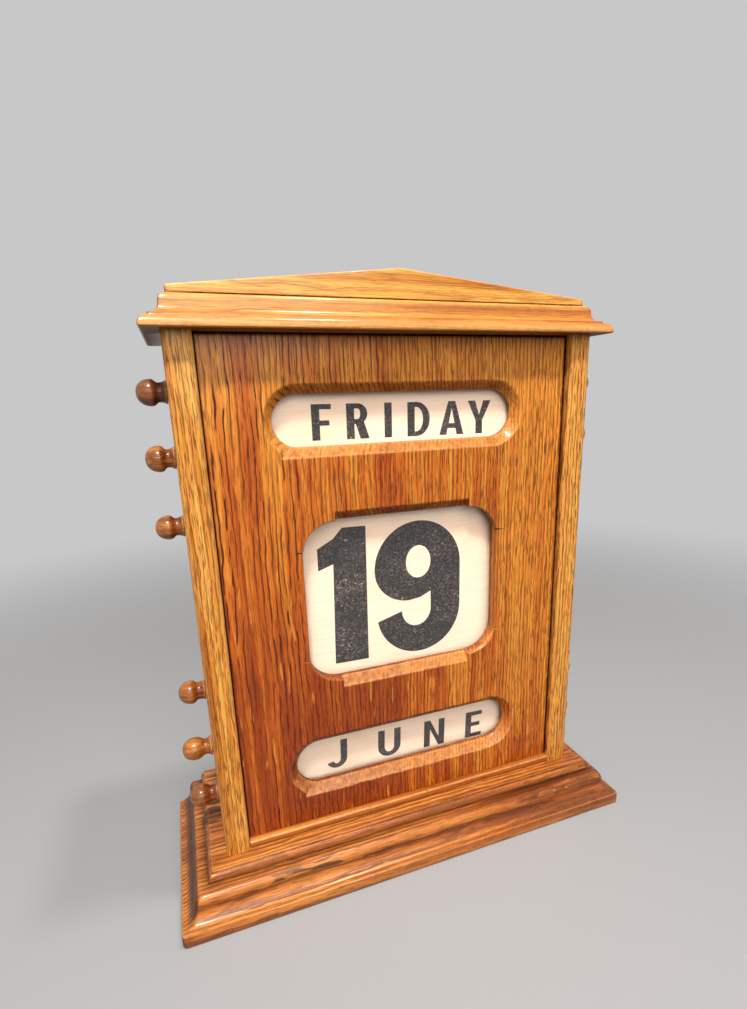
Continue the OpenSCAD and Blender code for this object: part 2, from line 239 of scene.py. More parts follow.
class Effects:
    """The shader node groups that several materials share."""

    def __init__(self) -> None:
        """Builds every group once."""
        self.oak = self._oak_figure()
        self.wear = self._arris_wear_and_painted_shade()
        self.cloth = self._cloth_weave()
        self.tarnish = self._tarnish()

    def _oak_figure(self) -> NodeTree:
        """Oak as a solid pattern: growth rings round a heart, pores as dark dashes along the grain, fibres and flecks.

        Returns:
            The group. Its Place is (across, through, along) the log, in metres.
        """
        tree, b, entry, out = new_group(
            "oak_figure",
            TreeKind.SHADER,
            {
                "Vector": ["Place"],
                "Color": ["Pale", "Middle", "Deep", "Pore"],
                "Float": ["Heart Across", "Heart Through", "Ring Width", "Coarse Pores", "Fine Pores"]
                + ["Flecks", "Figure", "Turn", "Rise"],
            },
            {"Color": ["Color"], "Float": ["Roughness", "Height"]},
        )
        i = entry.outputs
        # Growth rings: circles round the heart, wavy along the log
        drift = b.vector("SUBTRACT", b.noise(i["Place"], (26, 26, 5.5), 2.0, coloured=True), (0.5, 0.5, 0.5))
        place = b.vector("ADD", i["Place"], b.vector("MULTIPLY", drift, (0.007, 0.007, 0.0)))
        axes = b.split(place)
        across = b.minus(axes[0], i["Heart Across"])
        through = b.minus(axes[1], i["Heart Through"])
        radius = b.math("SQRT", b.plus(b.times(across, across), b.times(through, through)))
        wavy = b.plus(b.noise(place, (60, 60, 3), 1.0), b.times(b.noise(place, (240, 240, 70), 1.0), 0.75))
        phase = b.math("FRACT", b.plus(b.math("DIVIDE", radius, i["Ring Width"]), wavy))
        early = b.times(b.step(phase, 0.0, 0.05), b.step(phase, 0.21, 0.31, 1.0, 0.0))
        patch = b.noise(place, (24, 24, 6), 2.0)
        turn = b.times(axes[0], i["Turn"])
        region = b.plus(b.plus(0.5, turn), b.times(b.minus(patch, 0.5), 1.6), clamp=True)
        # Pores: long dashes that follow the rings, and short ones between them
        broken = b.step(b.noise(place, (430, 430, 55), 2.0), 0.38, 0.5)
        strength = b.step(b.noise(place, (160, 160, 9), 1.0), 0.3, 0.6, 0.5, 1.0)
        long_dash = b.times(b.times(early, broken), b.times(strength, i["Coarse Pores"]))
        coarse = b.times(long_dash, b.plus(0.65, b.times(region, 0.35)))
        short_cells = b.noise(place, (2000, 2000, 120), 1.0)
        short_dash = b.step(b.plus(short_cells, b.times(early, 0.1)), 0.555, 0.65)
        fine = b.times(b.times(short_dash, i["Fine Pores"]), b.minus(1.0, b.times(region, 0.45)))
        pores = b.math("MAXIMUM", coarse, fine, clamp=True)
        # Colour: broad patches and streaks choose the tone, late wood darkens it, flecks and fibres break it up
        fibre = b.noise(place, (1900, 1900, 36), 2.0, 0.6)
        streak = b.noise(place, (170, 170, 5), 2.0)
        mingled = b.plus(b.times(patch, 0.45), b.times(streak, 0.55))
        # Rise drifts the tone along the log's length; on the cornice, the pediment and the sill it is painted light,
        # paler towards the left end.
        lift = b.times(b.minus(axes[2], 0.16), i["Rise"])
        tone = b.plus(b.minus(mingled, b.times(turn, 0.22)), lift)
        light = b.mix(b.step(tone, 0.45, 0.66), i["Middle"], i["Pale"])
        body = b.mix(b.step(tone, 0.32, 0.52, 1.0, 0.0), light, i["Deep"])
        late = b.times(b.step(phase, 0.55, 0.95), i["Figure"])
        ringed = b.mix(late, body, i["Deep"])
        fleck_cells = b.noise(place, (270, 900, 36), 1.0)
        fleck = b.times(b.step(fleck_cells, 0.675, 0.71), i["Flecks"])
        flecked = b.mix(fleck, ringed, i["Pale"])
        fibred = b.mix(0.55, flecked, b.step(fibre, 0.22, 0.78, 0.2, 0.8), "OVERLAY")
        b.feed(out.inputs["Color"], b.mix(pores, fibred, i["Pore"]))
        b.feed(out.inputs["Roughness"], b.plus(b.times(pores, 0.3), b.plus(0.27, b.times(patch, 0.22))))
        b.feed(out.inputs["Height"], b.minus(b.times(fibre, 0.22), pores))
        return tree

    def _arris_wear_and_painted_shade(self) -> NodeTree:
        """Pale rubbed arrises, and painted light on bevels that face up; dark dirt, and painted shade in corners,
        recesses, gaps and undersides; all from a mask of -1 to 1 that the mesh carries.

        Returns:
            The group.
        """
        tree, b, entry, out = new_group(
            "arris_wear",
            TreeKind.SHADER,
            {"Color": ["Color", "Rubbed", "Dirt"], "Float": ["Mask"], "Vector": ["Place"]},
            {"Color": ["Color"]},
        )
        i = entry.outputs
        broken = b.step(b.noise(i["Place"], (420, 420, 420), 2.0), 0.3, 0.62, 0.45, 1.0)
        # Above 0 the mask pales the wood: rubbed wear, and painted light on bevels that face up. Below 0 it darkens it:
        # dirt, and painted shade.
        rubbed = b.times(b.math("MAXIMUM", i["Mask"], 0.0), broken, clamp=True)
        packed = b.plus(0.7, b.times(broken, 0.3))
        dirt = b.times(b.math("MAXIMUM", b.times(i["Mask"], -1.0), 0.0), packed, clamp=True)
        b.feed(out.inputs["Color"], b.mix(dirt, b.mix(rubbed, i["Color"], i["Rubbed"]), i["Dirt"]))
        return tree

    def _cloth_weave(self) -> NodeTree:
        """Fine threads both ways, slubs and faint stains for the sized cloth of the blinds.

        Returns:
            The group.
        """
        tree, b, entry, out = new_group(
            "cloth_weave",
            TreeKind.SHADER,
            {"Vector": ["Place"], "Color": ["Pale", "Aged"], "Float": ["Threads"]},
            {"Color": ["Color"], "Float": ["Height", "Rub"]},
        )
        i = entry.outputs
        axes = b.split(i["Place"])
        turn = b.times(i["Threads"], 2 * math.pi)
        warp = b.math("SINE", b.times(axes[0], turn))
        weft = b.math("SINE", b.times(axes[2], turn))
        slub = b.noise(i["Place"], (60, 60, 1500), 2.0)
        weave = b.plus(b.times(b.times(warp, weft), 0.5), slub)
        stain = b.noise(i["Place"], (22, 22, 30), 3.0)
        streaked = b.mix(b.step(slub, 0.42, 0.72, 0.0, 0.5), i["Pale"], i["Aged"])
        b.feed(out.inputs["Color"], b.mix(b.step(stain, 0.5, 0.75, 0.0, 0.55), streaked, i["Aged"]))
        b.feed(out.inputs["Height"], weave)
        # Where print is worn: grain, fine scratches along the cloth and broad patches
        grain = b.times(b.noise(i["Place"], (900, 900, 1000), 1.0), 0.7)
        scratch = b.times(b.noise(i["Place"], (150, 150, 2200), 1.0), 0.2)
        rub = b.plus(b.plus(grain, scratch), b.times(b.noise(i["Place"], (50, 50, 70), 2.0), 0.25))
        b.feed(out.inputs["Rub"], rub)
        return tree

    def _tarnish(self) -> NodeTree:
        """Dull patches on old metal.

        Returns:
            The group.
        """
        tree, b, entry, out = new_group(
            "tarnish",
            TreeKind.SHADER,
            {"Vector": ["Place"], "Color": ["Bright", "Dull"], "Float": ["Amount"]},
            {"Color": ["Color"], "Float": ["Roughness"]},
        )
        i = entry.outputs
        patch = b.step(b.noise(i["Place"], (520, 520, 520), 3.0, 0.6), 0.38, 0.66)
        share = b.times(patch, i["Amount"], clamp=True)
        b.feed(out.inputs["Color"], b.mix(share, i["Bright"], i["Dull"]))
        b.feed(out.inputs["Roughness"], b.plus(0.28, b.times(share, 0.35)))
        return tree


# ---------------------------------------------------------------------------------------------------------------------
# Finishes


class Finish:
    """What a material needs whatever it is made of."""

    name: str

    def start(self, values: Mapping[str, object]) -> tuple[Material, Bench, Node, NodeSocket]:
        """Starts an empty material with a Principled shader.

        Args:
            values: the shader's plain values.

        Returns:
            The material, a bench for its tree, the shader and the Object coordinates.
        """
        material = bpy.data.materials.new(self.name)
        material.use_nodes = True
        material.node_tree.nodes.clear()
        bench = Bench(material.node_tree)
        shader = bench.add("ShaderNodeBsdfPrincipled", values)
        bench.add("ShaderNodeOutputMaterial", {"Surface": shader.outputs[0]})
        place = bench.add("ShaderNodeTexCoord").outputs["Object"]
        return material, bench, shader, place

    @staticmethod
    def relief(bench: Bench, height: NodeSocket, depth: float, strength: float) -> NodeSocket:
        """The normal for a height pattern, 1 of which rises by depth metres."""
        return bench.add("ShaderNodeBump", {"Height": height, "Distance": depth, "Strength": strength}).outputs[0]


@dataclass(frozen=True)
class Oak(Finish):
    """Varnished or bare oak for one board.

    Sizes are in metres. The heart is the log's centre line, across and through the board.
    """

    name: str
    grain: Grain
    pale: str = "EC9634"
    middle: str = "D0691B"
    deep: str = "9E400C"
    pore: str = "461203"
    heart: tuple[float, float] = (0.3, 0.12)
    shift: tuple[float, float, float] = (0.0, 0.0, 0.0)
    ring_width: float = 0.0021
    coarse: float = 0.9
    fine: float = 0.6
    flecks: float = 0.35
    figure: float = 0.3
    turn: float = 0.0
    rise: float = 0.0
    end_grain_and_shade: float = 0.5
    # The pale colour goes on rubbed arrises and, as painted light, on bevels that face up; the dark colour goes on dirt
    # and on painted shade in corners, recesses, gaps and undersides.
    rubbed: str = "F0B06A"
    dirt: str = "1E0C05"
    coat: float = 0.2
    shine: float = 0.2
    relief_depth: float = 0.00018
    dull: float = 0.0

    def build(self, effects: Effects) -> Material:
        """Makes the material.

        Args:
            effects: the shared node groups.

        Returns:
            The material.
        """
        material, b, shader, place = self.start({"Specular IOR Level": self.shine, "Coat Roughness": 0.2})
        moved = b.add("ShaderNodeMapping", {"Vector": place, "Location": self.shift}).outputs[0]
        axes = b.split(moved)
        log = {n: axes["XYZ".index(letter)] for n, letter in enumerate(self.grain.value)}
        inputs = {"Place": b.combined(log)}
        inputs |= {label: colour(getattr(self, label.lower())) for label in ("Pale", "Middle", "Deep", "Pore")}
        inputs |= {label: getattr(self, label.lower()) for label in ("Flecks", "Figure", "Turn", "Rise")}
        inputs |= {"Heart Across": self.heart[0], "Heart Through": self.heart[1], "Ring Width": self.ring_width}
        inputs |= {"Coarse Pores": self.coarse, "Fine Pores": self.fine}
        figure = b.add("ShaderNodeGroup", inputs, node_tree=effects.oak)
        # End faces darken towards the pore colour: end grain soaking up the finish, and painted shade on the ends as
        # well.
        facing = b.split(b.add("ShaderNodeNewGeometry").outputs["Normal"])
        along = b.math("ABSOLUTE", facing["XYZ".index(self.grain.value[2])])
        soaked_and_shaded = b.mix(b.step(along, 0.15, 0.75, 0.0, self.end_grain_and_shade), figure.outputs["Color"], colour(self.pore))
        # The tone mask lays on wear and dirt with painted light and shade; where it paints shade the finish also gets
        # duller and loses its coat.
        mask = b.add("ShaderNodeAttribute", attribute_name="tone", attribute_type="GEOMETRY").outputs["Fac"]
        dirt_and_shade_amount = b.times(mask, -1.0, clamp=True)
        inputs = {"Color": soaked_and_shaded, "Mask": mask, "Place": place}
        inputs |= {"Rubbed": colour(self.rubbed), "Dirt": colour(self.dirt)}
        worn = b.add("ShaderNodeGroup", inputs, node_tree=effects.wear)
        b.feed(shader.inputs["Base Color"], worn.outputs["Color"])
        dull = b.plus(b.plus(figure.outputs["Roughness"], self.dull), b.times(dirt_and_shade_amount, 0.6), clamp=True)
        b.feed(shader.inputs["Roughness"], dull)
        b.feed(shader.inputs["Normal"], self.relief(b, figure.outputs["Height"], self.relief_depth, 0.8))
        b.feed(shader.inputs["Coat Weight"], b.times(b.minus(1.0, dirt_and_shade_amount), self.coat))
        return material


@dataclass(frozen=True)
class Cloth(Finish):
    """Sized cotton or linen of the blinds, bare or printed with an ink that has faded in places."""

    name: str
    pale: str = "F3D5BC"
    aged: str = "E7C39D"
    threads: float = 1500.0
    ink: str | None = None
    faded: str = "4F433D"
    wear: float = 0.5

    def build(self, effects: Effects) -> Material:
        """Makes the material.

        Args:
            effects: the shared node groups.

        Returns:
            The material.
        """
        gloss = 0.12 if self.ink else 0.3
        material, b, shader, place = self.start({"Roughness": 0.8, "Specular IOR Level": gloss})
        inputs = {"Place": place, "Pale": colour(self.pale), "Aged": colour(self.aged), "Threads": self.threads}
        weave = b.add("ShaderNodeGroup", inputs, node_tree=effects.cloth)
        shown = weave.outputs["Color"]
        if self.ink:
            bare = b.step(weave.outputs["Rub"], 0.73, 0.79, 0.0, self.wear)
            mottled = b.mix(b.step(weave.outputs["Rub"], 0.5, 0.74), colour(self.ink), colour(self.faded))
            shown = b.mix(bare, mottled, weave.outputs["Color"])
        b.feed(shader.inputs["Base Color"], shown)
        b.feed(shader.inputs["Normal"], self.relief(b, weave.outputs["Height"], 0.00006, 0.5))
        return material


@dataclass(frozen=True)
class Metal(Finish):
    """Brass or steel of the fixings."""

    name: str
    bright: str
    dull: str
    tarnish: float

    def build(self, effects: Effects) -> Material:
        """Makes the material.

        Args:
            effects: the shared node groups.

        Returns:
            The material.
        """
        material, b, shader, place = self.start({"Metallic": 1.0})
        inputs = {"Place": place, "Bright": colour(self.bright), "Dull": colour(self.dull), "Amount": self.tarnish}
        patches = b.add("ShaderNodeGroup", inputs, node_tree=effects.tarnish)
        b.feed(shader.inputs["Base Color"], patches.outputs["Color"])
        b.feed(shader.inputs["Roughness"], patches.outputs["Roughness"])
        return material


@dataclass(frozen=True)
class Glass(Finish):
    """Thin drawn glass that lets the lamps through to the cloth behind it."""

    name: str = "window_glass"

    def build(self, effects: Effects) -> Material:
        """Makes the material.

        Args:
            effects: the shared node groups, none of which glass needs.

        Returns:
            The material.
        """
        values = {"Base Color": colour("FFFFFF"), "Roughness": 0.02, "IOR": 1.5}
        material, b, shader, place = self.start(values | {"Transmission Weight": 1.0, "Specular IOR Level": 0.35})
        waves = b.noise(place, (30, 30, 9), 1.0)
        b.feed(shader.inputs["Normal"], self.relief(b, waves, 0.0004, 0.3))
        clear = b.add("ShaderNodeBsdfTransparent", {"Color": colour("F8F8F8")})
        path = b.add("ShaderNodeLightPath").outputs["Is Shadow Ray"]
        both = b.add("ShaderNodeMixShader", {0: path, 1: shader.outputs[0], 2: clear.outputs[0]})
        out = next(n for n in material.node_tree.nodes if n.type == "OUTPUT_MATERIAL")
        b.feed(out.inputs["Surface"], both.outputs[0])
        return material


class Workshop:
    """Every finish of the calendar, made once."""

    def __init__(self) -> None:
        """Builds the shared effects and all materials."""
        self.effects = Effects()
        stile = Oak("left_stile_oak", Grain.UPRIGHT_SIDE, "FFC366", "EE9C3C", "B4621A", "5A1C04", (0.1, -0.3))
        stile = replace(stile, shift=(0.02, 0.0, 0.1), coarse=0.75, fine=0.85, flecks=0.5, rise=0.4)
        plinth = Oak("plinth_oak", Grain.LENGTHWAYS, "DE8C3E", "B25C1E", "602606", "240B03", (0.09, -0.05))
        plinth = replace(plinth, rubbed="D98A48", ring_width=0.0024, figure=0.75, end_grain_and_shade=0.88, coat=0.5)
        cornice = Oak("cornice_oak", Grain.LENGTHWAYS, "D68F37", "B25F17", "88410D", "4E2008", (0.12, 0.02))
        # Rise -0.7, which the sill and the pediment take over, makes the wood paler towards the left end: painted
        # light.
        cornice = replace(
            cornice, ring_width=0.003, coarse=0.35, fine=0.4, figure=0.45, rise=-0.7, end_grain_and_shade=0.85, coat=0.6
        )
        knob = Oak("knob_oak", Grain.LENGTHWAYS, "DC8C38", "B05A1A", "5A2208", "2A0E03", (0.04, 0.7))
        knob = replace(knob, ring_width=0.0027, coarse=0.45, fine=0.7, flecks=0.3, figure=0.4, end_grain_and_shade=0.15, coat=0.6)
        panel = Oak("panel_oak", Grain.UPRIGHT_FACE, heart=(-0.19, 0.1), coarse=1.0, fine=0.8, flecks=0.6)
        bare = Oak("bare_oak", Grain.UPRIGHT_FACE, coat=0.0)
        beech = Oak("roller_beech", Grain.LENGTHWAYS, "E3C293", "D4AC78", "BF925C", "A0713F", coarse=0.1, fine=0.35)
        finishes = [
            replace(panel, turn=-3.6, rise=1.0, end_grain_and_shade=0.1, coat=0.3),
            stile,
            self.like(stile, "right_stile_oak", "F8AA4A D8802A 984C12 4C1604", (0.3, 0.0, 0.4), coarse=0.9, fine=1.0),
            self.like(cornice, "sill_oak", "D68434 B4601C 8A4010", (0.1, 0.2, 0.0)),
            plinth,
            self.like(plinth, "step_oak", "E89646 BE6624", (0.4, 0.0, 0.03)),
            cornice,
            self.like(cornice, "pediment_oak", "EEAC4C C87622", (0.0, -0.12, 0.04)),
            self.like(bare, "back_oak", "C8955A AE7840 8A5A2E", (0.1, 0.0, 0.5), heart=(0.02, 0.09), dull=0.25),
            self.like(bare, "block_oak", "D9B483 C39A66 A67C4A", dull=0.35),
            knob,
            # A paler copy of the knob oak: painted light that lifts the shade on two of the left knobs.
            self.like(knob, "knob_honey_oak", "F2A24A CE7826 7A3A10 3A1404"),
            self.like(knob, "knob_dark_oak", "9A5028 6E3014 3E180A 1E0A04", (0.2, 0.1, 0.0)),
            replace(beech, coat=0.0, dull=0.3),
            Cloth("blind_cloth"),
            Cloth("printed_ink", ink="0E0A09"),
            Metal("brass", "C9A153", "6E5226", 0.6),
            Metal("steel", "A8A49B", "5C5650", 0.7),
            Glass(),
        ]
        self.made = {finish.name: finish.build(self.effects) for finish in finishes}

    @staticmethod
    def like(
        model: Oak, name: str, colours: str, shift: tuple[float, float, float] = (0.0, 0.0, 0.0), **changes: object
    ) -> Oak:
        """Oak like the model, with its own pale, middle, deep and pore colours as far as they are given."""
        tones = dict(zip(("pale", "middle", "deep", "pore"), colours.split()))
        return replace(model, name=name, shift=shift, **tones, **changes)

    def __getitem__(self, name: str) -> Material:
        """The material of that name."""
        return self.made[name]


# ---------------------------------------------------------------------------------------------------------------------
# Meshes; their makers work in millimetres, in the frame of the whole calendar


def box_mm(node: str) -> tuple[Vector, Vector]:
    """A CAD node's lowest and highest corners, in millimetres."""
    low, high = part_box(node)
    return Vector(low) / MM, Vector(high) / MM


def wander(*place: float) -> float:
    """Smooth seeded noise of -1 to 1 at a place."""
    return noise.noise(Vector((place + (0.0, 0.0))[:3]) + Vector((11.3, 5.7, 2.9)))


class Shell:
    """Collects the points and faces of one piece, with a tone mask for wear, dirt and painted light and shade at each
    point.
    """

    def __init__(self) -> None:
        """Starts empty."""
        self.points: list[Sequence[float]] = []
        self.tones: list[float] = []
        self.faces: list[Sequence[int]] = []

    def ring(self, points: Sequence[Sequence[float]], tone: float | Sequence[float] = 0.0) -> list[int]:
        """Adds a row of points.

        Args:
            points: places in millimetres.
            tone: the tone mask (wear, dirt, painted light and shade), one for all or one each.

        Returns:
            Their numbers.
        """
        start = len(self.points)
        self.points.extend(points)
        self.tones.extend([tone] * len(points) if isinstance(tone, (int, float)) else tone)
        return list(range(start, start + len(points)))

    def bridge(self, first: Sequence[int], second: Sequence[int], closed: bool = False) -> None:
        """Joins two rows of as many points with quads."""
        count = len(first)
        for n in range(count if closed else count - 1):
            m = (n + 1) % count
            self.faces.append((first[n], first[m], second[m], second[n]))

    def cap(self, ring: Sequence[int], flip: bool = False) -> None:
        """Fills a ring with one flat face."""
        self.faces.append(tuple(reversed(ring)) if flip else tuple(ring))

    def loft(self, rings: Sequence[Sequence[int]], capped: bool = True) -> None:
        """Joins closed rings one after another.

        Args:
            rings: the rings, all of as many points.
            capped: True to fill the first and the last.
        """
        for first, second in zip(rings, rings[1:]):
            self.bridge(first, second, closed=True)
        if capped:
            self.cap(rings[0], flip=True)
            self.cap(rings[-1])

    def mesh(self, name: str, sharp_angle: float = SHARP_ANGLE) -> Mesh:
        """Makes the mesh, in metres, smooth but for its sharp edges.

        Args:
            name: the mesh's name.
            sharp_angle: the angle in degrees past which an edge stays sharp.

        Returns:
            The mesh.
        """
        mesh = bpy.data.meshes.new(name)
        mesh.from_pydata([Vector(p) * MM for p in self.points], [], self.faces)
        mask = mesh.attributes.new("tone", "FLOAT", "POINT")
        mask.data.foreach_set("value", self.tones)
        work = bmesh.new()
        work.from_mesh(mesh)
        bmesh.ops.remove_doubles(work, verts=work.verts, dist=1e-7)
        bmesh.ops.recalc_face_normals(work, faces=work.faces)
        work.to_mesh(mesh)
        work.free()
        smooth(mesh, sharp_angle)
        return mesh


def smooth(mesh: Mesh, sharp_angle: float = SHARP_ANGLE) -> None:
    """Shades a mesh smooth, with edges past sharp_angle degrees left sharp."""
    mesh.shade_smooth()
    mesh.set_sharp_from_angle(angle=math.radians(sharp_angle))
    mesh.update()


def new_object(name: str, data: Mesh | Light | Camera) -> Object:
    """Puts a new object in the scene."""
    item = bpy.data.objects.new(name, data)
    bpy.context.scene.collection.objects.link(item)
    return item


def place_piece(
    name: str, mesh: Mesh, finish: Material, body: str = CASE, nodes: Sequence[str] = ()
) -> Object:
    """Puts a finished mesh in the scene, hangs it on its body's empty and hides the CAD nodes that it stands for.

    Args:
        name: the piece's name.
        mesh: its mesh, in metres.
        finish: its material.
        body: the CAD body that carries it.
        nodes: the CAD nodes that it stands for.

    Returns:
        The piece.
    """
    piece = new_object(name, mesh)
    mesh.materials.clear()
    mesh.materials.append(finish)
    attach(piece, body)
    if nodes:
        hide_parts(*nodes)
    LOG.info("%s: %d faces, on %s", name, len(mesh.polygons), body)
    return piece


def dress_node(node: str, finish: Material) -> None:
    """Gives a CAD node that keeps its own shape a finish."""
    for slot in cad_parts[node].material_slots:
        slot.material = finish
    LOG.info("%s: CAD shape, %s", node, finish.name)


def evaluated_mesh(piece: Object) -> Mesh:
    """A plain mesh of a piece as its modifiers leave it."""
    graph = bpy.context.evaluated_depsgraph_get()
    return bpy.data.meshes.new_from_object(piece.evaluated_get(graph))


def turned_cutter(
    sections: Sequence[tuple[float, float]], place: Sequence[float], along: Sequence[float], sides: int = 40
) -> Shell:
    """A closed turned shape for boring a hole.

    Args:
        sections: (distance along, radius) pairs.
        place: where distance 0 lies.
        along: the axis.
        sides: points round it.

    Returns:
        The shape.
    """
    shell = Shell()
    turn = Vector((0, 0, 1)).rotation_difference(Vector(along))
    rings = []
    for distance, radius in sections:
        ring = [
            Vector(place) + turn @ Vector((radius * math.cos(t), radius * math.sin(t), distance))
            for t in (2 * math.pi * n / sides for n in range(sides))
        ]
        # The walls of the hole carry painted shade.
        rings.append(shell.ring(ring, -0.6))
    shell.loft(rings)
    return shell


def bored(mesh: Mesh, cutters: Sequence[Shell]) -> Mesh:
    """Cuts holes in a closed mesh.

    Args:
        mesh: the solid.
        cutters: the shapes to take away, none of which touch each other.

    Returns:
        A new mesh.
    """
    if not cutters:
        return mesh
    joined = Shell()
    for cutter in cutters:
        start = len(joined.points)
        joined.points.extend(cutter.points)
        joined.tones.extend(cutter.tones)
        joined.faces.extend(tuple(start + n for n in face) for face in cutter.faces)
    tool, work = new_object("bore_tool", joined.mesh("bore_tool")), new_object("bore_work", mesh)
    cut = work.modifiers.new("bore", "BOOLEAN")
    cut.operation = "DIFFERENCE"
    cut.solver = "EXACT"
    cut.object = tool
    result = evaluated_mesh(work)
    for item in (tool, work):
        bpy.data.objects.remove(item)
    result.materials.clear()
    smooth(result)
    return result


def screw_bore(place: Sequence[float], along: Sequence[float], shank: float, head: float, length: float) -> Shell:
    """The countersunk hole of a screw, from a little outside the surface at place.

    Args:
        place: the middle of the screw's head, on the surface.
        along: the way that the screw goes in.
        shank: the shank's diameter.
        head: the head's diameter.
        length: the whole length.

    Returns:
        The cutter.
    """
    slack = 0.05
    cone = (head - shank) / 2
    outer, bore = head / 2 + 2 * slack, shank / 2 + slack
    return turned_cutter([(-1.0, outer), (0.0, outer), (cone + slack, bore), (length + slack, bore)], place, along)


Section = list[tuple[float, float, float]]


class EdgePoint(NamedTuple):
    """One point of a moulding's profile: how far in and how high it is, and its tone mask (wear, painted shade)."""

    inset: float
    height: float
    tone: float = 0.0


def edge(*rows: Sequence[float]) -> list[EdgePoint]:
    """A run of a moulding's profile, from rows of inset, height and, where it isn't 0, the tone mask (wear, painted
    shade).
    """
    return [EdgePoint(*row) for row in rows]


def quarter(first: Sequence[float], last: Sequence[float], hollow: bool, count: int = 12) -> list[EdgePoint]:
    """A quarter curve of a moulding.

    Args:
        first: the lower, outer end, as a row of edge.
        last: the upper, inner end.
        hollow: True for a cove, which starts level, and False for an ovolo, which starts upright.
        count: how many steps it has.

    Returns:
        The points, ends included.
    """
    curve = []
    start, end = edge(first, last)
    for n in range(count + 1):
        t = math.pi / 2 * n / count
        across, up = (math.sin(t), 1 - math.cos(t)) if hollow else (1 - math.cos(t), math.sin(t))
        inset = start.inset + (end.inset - start.inset) * across
        height = start.height + (end.height - start.height) * up
        curve.append(EdgePoint(inset, height, start.tone + (end.tone - start.tone) * n / count))
    return curve


@dataclass
class MouldedBoard:
    """A board whose front and both ends carry one moulding, with slightly worn arrises.

    Sizes are in millimetres. A dent comes where the noise along an arris is above dent_level.
    """

    node: str
    profile: list[EdgePoint]
    corner: float = 0.9
    wear: float = 0.16
    dents: float = 0.5
    dent_level: float = 0.42
    seed: float = 0.0
    steps: tuple[int, int, int] = (28, 5, 80)
    bores: list[Shell] = field(default_factory=list)

    def spot(self, number: int, inset: float) -> tuple[float, float]:
        """One point of the line round the left end, the front and the right end.

        Args:
            number: which point, from 0 at the left end's back.
            inset: how far in the line runs.

        Returns:
            Its x and y.
        """
        low, high = self.box
        left, right, front, back, r = low.x + inset, high.x - inset, low.y + inset, high.y, self.corner
        sides, bends, fronts = self.steps
        if number < sides:
            return left, back + (front + r - back) * number / sides
        number -= sides
        if number <= bends:
            t = math.pi / 2 * number / bends
            return left + r - r * math.cos(t), front + r - r * math.sin(t)
        number -= bends
        if number < fronts:
            return left + r + (right - left - 2 * r) * number / fronts, front
        number -= fronts
        if number <= bends:
            t = math.pi / 2 * number / bends
            return right - r + r * math.sin(t), front + r - r * math.cos(t)
        return right, front + r + (back - front - r) * (number - bends) / sides

    def build(self, name: str) -> Mesh:
        """Makes the mesh.

        Args:
            name: its name.

        Returns:
            The mesh.
        """
        self.box = low, _ = box_mm(self.node)
        shell, rings = Shell(), []
        count = 2 * self.steps[0] + 2 * self.steps[1] + self.steps[2] + 1
        runs = [0.0]
        for n in range(1, count):
            runs.append(runs[-1] + math.dist(self.spot(n - 1, 0.0), self.spot(n, 0.0)))
        last = len(self.profile) - 1
        for row, point in enumerate(self.profile):
            ring, tones = [], []
            for n, run in enumerate(runs):
                rub = max(point.tone, 0.0)
                bite = max(wander(run * 0.21, self.seed, row * 0.13) - self.dent_level, 0.0) * self.dents
                fall = rub * (self.wear * (0.5 + 0.5 * wander(run * 0.045, row * 0.4, self.seed)) + bite)
                sink = 0.4 * fall if 0 < row < last else 0.0
                ring.append((*self.spot(n, point.inset + fall), low.z + point.height - sink))
                tones.append(point.tone * (0.75 + 0.25 * wander(run * 0.03, row, self.seed + 4)))
            rings.append(shell.ring(ring, tones))
        for first, second in zip(rings, rings[1:]):
            shell.bridge(first, second)
        shell.cap(rings[0], flip=True)
        shell.cap(rings[-1])
        shell.cap([r[0] for r in rings] + [r[-1] for r in reversed(rings)], flip=True)
        return bored(shell.mesh(name), self.bores)


def straight_moulding(name: str, profile: Section, left: float, right: float, wobble: float, step: float = 3.0) -> Mesh:
    """A strip with one closed profile along X.

    Args:
        name: the mesh's name.
        profile: (y, z, tone mask for wear and painted shade) points round the section.
        left: where it starts.
        right: where it ends.
        wobble: how far its points wander inwards.
        step: the distance between sections.

    Returns:
        The mesh.
    """
    shell, rings = Shell(), []
    count = max(2, round((right - left) / step))
    middle = Vector((sum(p[0] for p in profile), sum(p[1] for p in profile))) / len(profile)
    for n in range(count + 1):
        x = left + (right - left) * n / count
        ring = []
        for m, (y, z, tone) in enumerate(profile):
            pull = wobble * max(tone, 0.0) * (0.5 + 0.5 * wander(x * 0.06, m * 0.7, left))
            ring.append((x, y + (middle.x - y) * pull, z + (middle.y - z) * pull))
        rings.append(shell.ring(ring, [p[2] for p in profile]))
    shell.loft(rings)
    return shell.mesh(name)


def rounded_block(name: str, low: Vector, high: Vector, radius: float) -> Mesh:
    """A board with every arris rounded.

    Args:
        name: the mesh's name.
        low: its lowest corner.
        high: its highest corner.
        radius: the arris radius.

    Returns:
        The mesh.
    """
    work = bmesh.new()
    bmesh.ops.create_cube(work, size=1.0)
    middle, size = (low + high) / 2, high - low
    for vert in work.verts:
        vert.co = Vector((middle[n] + vert.co[n] * size[n] for n in range(3))) * MM
    bmesh.ops.bevel(work, geom=list(work.edges), offset=radius * MM, segments=4, profile=0.5, affect="EDGES")
    mesh = bpy.data.meshes.new(name)
    work.to_mesh(mesh)
    work.free()
    smooth(mesh)
    return mesh


# ---------------------------------------------------------------------------------------------------------------------
# The case


class RimPoint(NamedTuple):
    """A point of a window's inner edge, with the way out from it and the bevel that it carries."""

    x: float
    z: float
    out_x: float
    out_z: float
    spread: float
    depth: float
    tone: float


Measure = Callable[[RimPoint], float]


